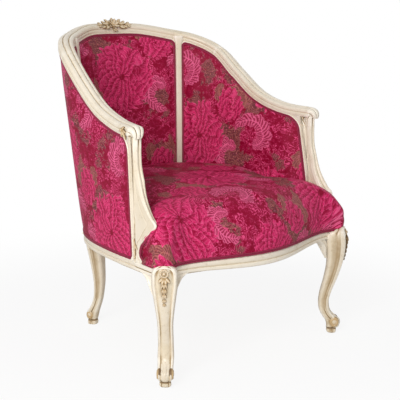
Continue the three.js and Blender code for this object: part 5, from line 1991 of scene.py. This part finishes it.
@dataclass(frozen=True)
class Stuffing:
    """Swells a sewn cover by a short cloth simulation and keeps each point near its cut place."""

    pressure: float = 4.0
    frames: int = 16
    reach: float = 0.006
    slack: float = 0.012

    def swell(self, piece: bpy.types.Object, held: Array) -> None:
        """Runs the simulation and leaves its result in the mesh.

        Args:
            piece: The cover.
            held: How firmly each point is sewn down, from 0 to 1.
        """
        mesh = piece.data
        before = readings(mesh.vertices, "co", 3, np.float32)
        group = piece.vertex_groups.new(name="held")
        steps = np.round(held * 10).astype(int)
        for step in range(1, 11):
            group.add(np.flatnonzero(steps == step).tolist(), step / 10, "REPLACE")
        cloth = piece.modifiers.new("stuffing", "CLOTH")
        cloth.settings.use_pressure = True
        cloth.settings.uniform_pressure_force = self.pressure
        cloth.settings.vertex_group_mass = "held"
        cloth.settings.quality = 5
        cloth.settings.mass = 0.2
        cloth.settings.tension_stiffness = 25
        cloth.settings.compression_stiffness = 12
        cloth.settings.shear_stiffness = 8
        cloth.settings.bending_stiffness = 0.4
        cloth.settings.shrink_min = -self.slack
        cloth.settings.effector_weights.gravity = 0
        cloth.collision_settings.use_collision = False
        cloth.point_cache.frame_start = 1
        cloth.point_cache.frame_end = self.frames
        scene = bpy.context.scene
        for frame in range(1, self.frames + 1):
            scene.frame_set(frame)
        shaped = piece.evaluated_get(bpy.context.evaluated_depsgraph_get()).data
        after = readings(shaped.vertices, "co", 3, np.float32)
        piece.modifiers.remove(cloth)
        piece.vertex_groups.remove(group)
        scene.frame_set(1)
        move = after - before
        length = np.linalg.norm(move, axis=1, keepdims=True)
        kept = before + move * np.minimum(1, self.reach / np.maximum(length, 1e-9))
        mesh.vertices.foreach_set("co", kept.astype(np.float32).ravel())
        mesh.update()
        log.info("%s: swelled by up to %.1f mm", piece.name, 1000 * float(length.max()))


@dataclass
class Seat:
    """Tight sprung seat: crowned top, rolled front edge and drawn corners over the knees."""

    bench: Bench
    guide: Guide
    walls: Walls
    posts: ArmPosts
    crown: float = 0.463
    rim: float = 0.456
    edge: float = 0.394
    bulge: float = 0.006
    middle: float = -0.120
    post_share: float = 0.975
    corner: float = 0.064 * 0.33
    corner_swell: float = 0.004
    corner_drop: float = 0.015
    rings: tuple = (
        (1, 0, 0), (1, 0.3, 0.24), (1, 0.6, 0.48), (0.995, 0.82, 0.73), (0.982, 0.93, 0.95),
        (0.958, 0.99, 1.15), (0.915, 1.02, 1.32), (0.84, 1.045, 1.47), (0.7, 1.06, 1.6), (0.48, 1.07, 1.69), (0.24, 1.075, 1.73),
        (0.02, 1.08, 1.74),
    )

    def front_edge(self, height: float) -> Array:
        """The seat's border ahead of the posts: side, corner, front, corner and side.

        The cover keeps inside the posts and swells past the frame's face ahead of them.
        """
        guide = self.guide
        rise = min(1.0, max(0.0, (height - guide.show_top) / 0.1))
        proud = self.corner_swell * math.sin(math.pi * rise)
        profile = self.posts.profile()
        profile = profile[profile[:, 0] < 0.44]
        sides = []
        for first, last in ((1, guide.side_end), (-guide.side_end, -1)):
            share = np.linspace(first, last, 40)
            place, _, outward, _ = guide.seat(share)
            clear = -place[:, 1] + np.interp(height, profile[:, 0], profile[:, 1])
            tuck = mix(0.007, 0.001 - proud, smooth(clear, -0.003, 0.016))
            sides.append(place - outward * tuck[:, None])
        reach = guide.front_leg_span - guide.knee_width / 3
        front, _ = guide.front(np.linspace(reach, -reach, 120))
        front[:, 1] -= 0.006 * smooth(np.abs(front[:, 0]), 0.25, reach)
        corner = []
        for side in (1, -1):
            turn = np.radians(-17.5 * side + np.linspace(37.5, -37.5, 7))[:, None]
            outward = unit(np.array([side, -1.0, 0]))
            across = np.cross([0, 0, 1], outward)
            post = np.array([side * guide.front_leg_span, -guide.front_leg_reach, 0])
            corner.append(post + (outward * np.cos(turn) + across * np.sin(turn)) * (self.corner + proud))
        return np.vstack([sides[0], corner[0], front, corner[1], sides[1]])

    def outline(self, height: float) -> Array:
        """The seat's border at a height: round the back inside the pads, then the front."""
        guide, gap = self.guide, 0.0008
        share = np.linspace(-self.post_share, self.post_share, 130)
        back = guide.wall(share, height, guide.rail_thickness + self.walls.crown + gap,
                          guide.rail_width - 0.003 + self.walls.crown + gap)
        ring = np.vstack([back, self.front_edge(height)]) * [1, 1, 0]
        return spaced(np.vstack([ring, ring[:1]]), 320, False)

    @staticmethod
    def eased(ring: Array, passes: int) -> Array:
        """A closed ring with its jogs smoothed away by averaging neighbours."""
        for _ in range(passes):
            ring = (ring + np.roll(ring, 1, axis=0) + np.roll(ring, -1, axis=0)) / 3
        return ring

    def build(self) -> None:
        """Makes the seat: rings from its foot to its crown, each drawn in from the border."""
        guide = self.guide
        centre = np.array([0, self.middle, 0])
        foot_back = guide.rail_top + 0.0012 + 0.0016
        foot_front = guide.show_top + 0.0008
        rows = []
        for scale, back, front in Curve(self.rings).even(60):
            rear = mix(foot_back, self.rim, back)
            fore = mix(foot_front, self.edge, front)
            border = self.outline(min(rear, self.rim))
            inner = Seat.eased(border, 60)
            point = mix(border, inner, float(smooth(1 - scale, 0, 0.25)))
            forward = smooth(-point[:, 1], -0.020, 0.225)
            ahead = smooth(-point[:, 1], 0.225, guide.corner_reach)
            swell = ahead * self.bulge * math.sin(math.pi * min(1.0, max(0.0, front))) / guide.seat_half_span
            place = (point - centre) * (scale + swell)[:, None] + centre
            place[:, 2] = np.minimum(self.crown, mix(rear, fore, forward))
            corner = smooth(np.abs(place[:, 0]), 0.20, 0.33) * smooth(-place[:, 1], 0.23, 0.32)
            place[:, 2] -= self.corner_drop * corner * smooth(front, 0.5, 1.15)
            rows.append(place)
        grid = np.array(rows)
        skin = tube(grid)
        skin.cloth = self.cloth(grid)
        piece = self.bench.make("seat_damask", skin, Finish.FABRIC, ["seat_pad"], 80)
        row = np.repeat(np.arange(len(grid)), grid.shape[1])
        height, depth = grid[..., 2].ravel(), grid[..., 1].ravel()
        walled = (depth > -0.19) & (height < 0.452)
        held = np.maximum(1 - smooth(row, 5, 12), walled)
        Stuffing(reach=0.007).swell(piece, np.concatenate([held, [1, 0]]))
        self.sew()

    def sew(self) -> None:
        """Sews the double cord along the seat's lower edge, above the moulded rail."""
        edge = self.front_edge(self.guide.show_top + 0.005)
        path = Curve(edge[12:-12:4]).even(420)
        out = facing(unit(np.cross(directions(path), UP)), path - np.array([0, -0.1, 0]))
        lines = []
        for rise in (0.0026, 0.0068):
            line = path + out * 0.0012
            line[:, 2] = self.guide.show_top + rise
            lines.append(line)
        cords = Cords(self.bench)
        cords.pair("seat_cord", lines[0], lines[1], False)
        height, front, _ = self.posts.profile().T
        kept = (height < 0.390) & (height > self.guide.show_top + 0.004)
        for word, side in SIDES:
            lines = []
            for ahead in (0.0010, 0.0050):
                x = np.full(kept.sum(), side * (self.guide.seat_half_span + 0.0012))
                lines.append(np.stack([x, front[kept] - ahead, height[kept]], axis=1))
            cords.pair(f"seat_side_cord_{word}", lines[0], lines[1], False)

    def cloth(self, grid: Array) -> Array:
        """Cloth coordinates: plan direction from the middle times the length over the surface."""
        centre = grid[-1].mean(0)
        inward = grid[::-1]
        middle = np.broadcast_to(centre, (1, *grid[0].shape))
        step = np.linalg.norm(np.diff(np.concatenate([middle, inward]), axis=0), axis=2)
        reach = np.cumsum(step, axis=0)[::-1]
        way = unit((grid - centre) * [1, 1, 0])[..., :2]
        flat = (way * reach[..., None]).reshape(-1, 2)
        return np.vstack([flat, grid[0].mean(0)[:2], [0, 0]])


# Studio


@dataclass
class Studio:
    """Plain pale floor, soft lamps and a camera at the photograph's viewing angle."""

    shift: float
    place: tuple[float, float, float] = (-1.891, -2.121, 0.941)
    azimuth: float = math.radians(41.7246)
    elevation: float = math.radians(10.388)
    lens: float = 91.81
    aside: float = 20.4 / 1020.16
    below: float = 11.1 / 1020.16
    soft_light: float = 0.43
    target: tuple[float, float, float] = (0, 0, 0.45)

    def camera(self) -> None:
        """Sets the camera: its axis is turned a little so that no shift is needed."""
        a, e = self.azimuth, self.elevation
        right = Vector((math.cos(a), -math.sin(a), 0))
        ahead = Vector((math.sin(a) * math.cos(e), math.cos(a) * math.cos(e), -math.sin(e)))
        up = right.cross(ahead)
        look = (ahead + right * self.aside - up * self.below).normalized()
        data = bpy.data.cameras.new("camera")
        data.lens = self.lens
        data.sensor_width = 36
        camera = bpy.data.objects.new("camera", data)
        bpy.context.scene.collection.objects.link(camera)
        back = -look
        side = up.cross(back).normalized()
        top = back.cross(side)
        turn = Matrix((side, top, back)).transposed().to_4x4()
        camera.matrix_world = Matrix.Translation(Vector(self.place) + Vector((0, self.shift, 0))) @ turn
        bpy.context.scene.camera = camera

    def floor(self) -> None:
        """A wide pale floor that shows white to the camera and keeps the chair's shadow."""
        mesh = bpy.data.meshes.new("floor")
        reach = 14.0
        corners = [(-reach, -reach, 0), (reach, -reach, 0), (reach, reach, 0), (-reach, reach, 0)]
        mesh.from_pydata(corners, [], [(0, 1, 2, 3)])
        box = Paintbox(bpy.data.materials.new("pale_floor"))
        grain = box.noise(box.place(), 3, 2)
        shade = box.blend(colour(250, 250, 250), colour(246, 246, 247), grain)
        diffuse = box.node("ShaderNodeBsdfDiffuse", {}, {"Color": shade})
        glow = box.node("ShaderNodeEmission", {}, {"Color": (1, 1, 1, 1), "Strength": 1.0})
        x, y, _ = box.parts(box.place())
        far = ((x * x + y * y) ** 0.5).step(0.55, 1.5)
        share = box.rays("Camera") * (0.87 + far * 0.13)
        mixed = box.node("ShaderNodeMixShader", {}, {0: share, 1: diffuse, 2: glow})
        mesh.materials.append(box.close(mixed, "Material"))
        floor = bpy.data.objects.new("floor", mesh)
        bpy.context.scene.collection.objects.link(floor)

    def world(self) -> None:
        """A white world for the camera and soft grey-white light for everything else."""
        world = bpy.data.worlds.new("studio")
        bpy.context.scene.world = world
        box = Paintbox(world)
        soft = box.node("ShaderNodeBackground", {}, {"Color": (1, 1, 1, 1), "Strength": self.soft_light})
        white = box.node("ShaderNodeBackground", {}, {"Color": (1, 1, 1, 1), "Strength": 1.0})
        seen = (box.rays("Camera") + box.rays("Transmission") + box.rays("Glossy")).least(1.0)
        box.close(box.node("ShaderNodeMixShader", {}, {0: seen, 1: soft, 2: white}), "World")

    def lamp(self, name: str, place: tuple[float, float, float], size: float, power: float) -> None:
        """A square soft lamp that faces the chair's middle."""
        data = bpy.data.lights.new(name, "AREA")
        data.shape = "SQUARE"
        data.size = size
        data.energy = power
        lamp = bpy.data.objects.new(name, data)
        bpy.context.scene.collection.objects.link(lamp)
        lamp.location = place
        lamp.rotation_euler = (Vector(self.target) - Vector(place)).to_track_quat("-Z", "Y").to_euler()

    def build(self) -> None:
        """Sets up the whole studio."""
        self.camera()
        self.floor()
        self.world()
        self.lamp("key", (-2.9, -1.7, 1.9), 1.5, 86)
        self.lamp("fill", (1.0, -3.4, 2.0), 2.4, 8)
        scene = bpy.context.scene
        scene.view_settings.view_transform = "Standard"


def finish_hidden_pieces(bench: Bench, nodes: dict[str, bpy.types.Object]) -> None:
    """Gives the CAD pieces that stay their finishes: linings, springs and glue blocks."""
    finishes = (
        ("hessian", Finish.LINEN), ("webbing", Finish.LINEN), ("dust", Finish.LINEN), ("block", Finish.BEECH),
        ("spring", Finish.STEEL),
    )
    for name, node in nodes.items():
        for word, finish in finishes:
            if word in name:
                node.data.materials.clear()
                node.data.materials.append(bench.finishes[finish])


def main() -> None:
    """Builds the chair's looks in order and notes the size of the result."""
    logging.basicConfig(level=logging.INFO, format="%(name)s %(message)s")
    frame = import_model()
    guide = Guide()
    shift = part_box("front_seat_rail")[0].y + guide.corner_reach + guide.front_bulge
    bench = Bench(shift)
    Studio(shift).build()
    finish_hidden_pieces(bench, frame["nodes"])
    TopRail(bench, guide).build()
    posts = ArmPosts(bench, guide)
    posts.build()
    BackStiles(bench, guide).build()
    SeatRails(bench, guide).build()
    Legs(bench, guide).build()
    CrestFlower(bench, guide).build()
    walls = Walls(bench, guide)
    walls.build()
    Seat(bench, guide, walls, posts).build()


if __name__ == "__main__":
    main()
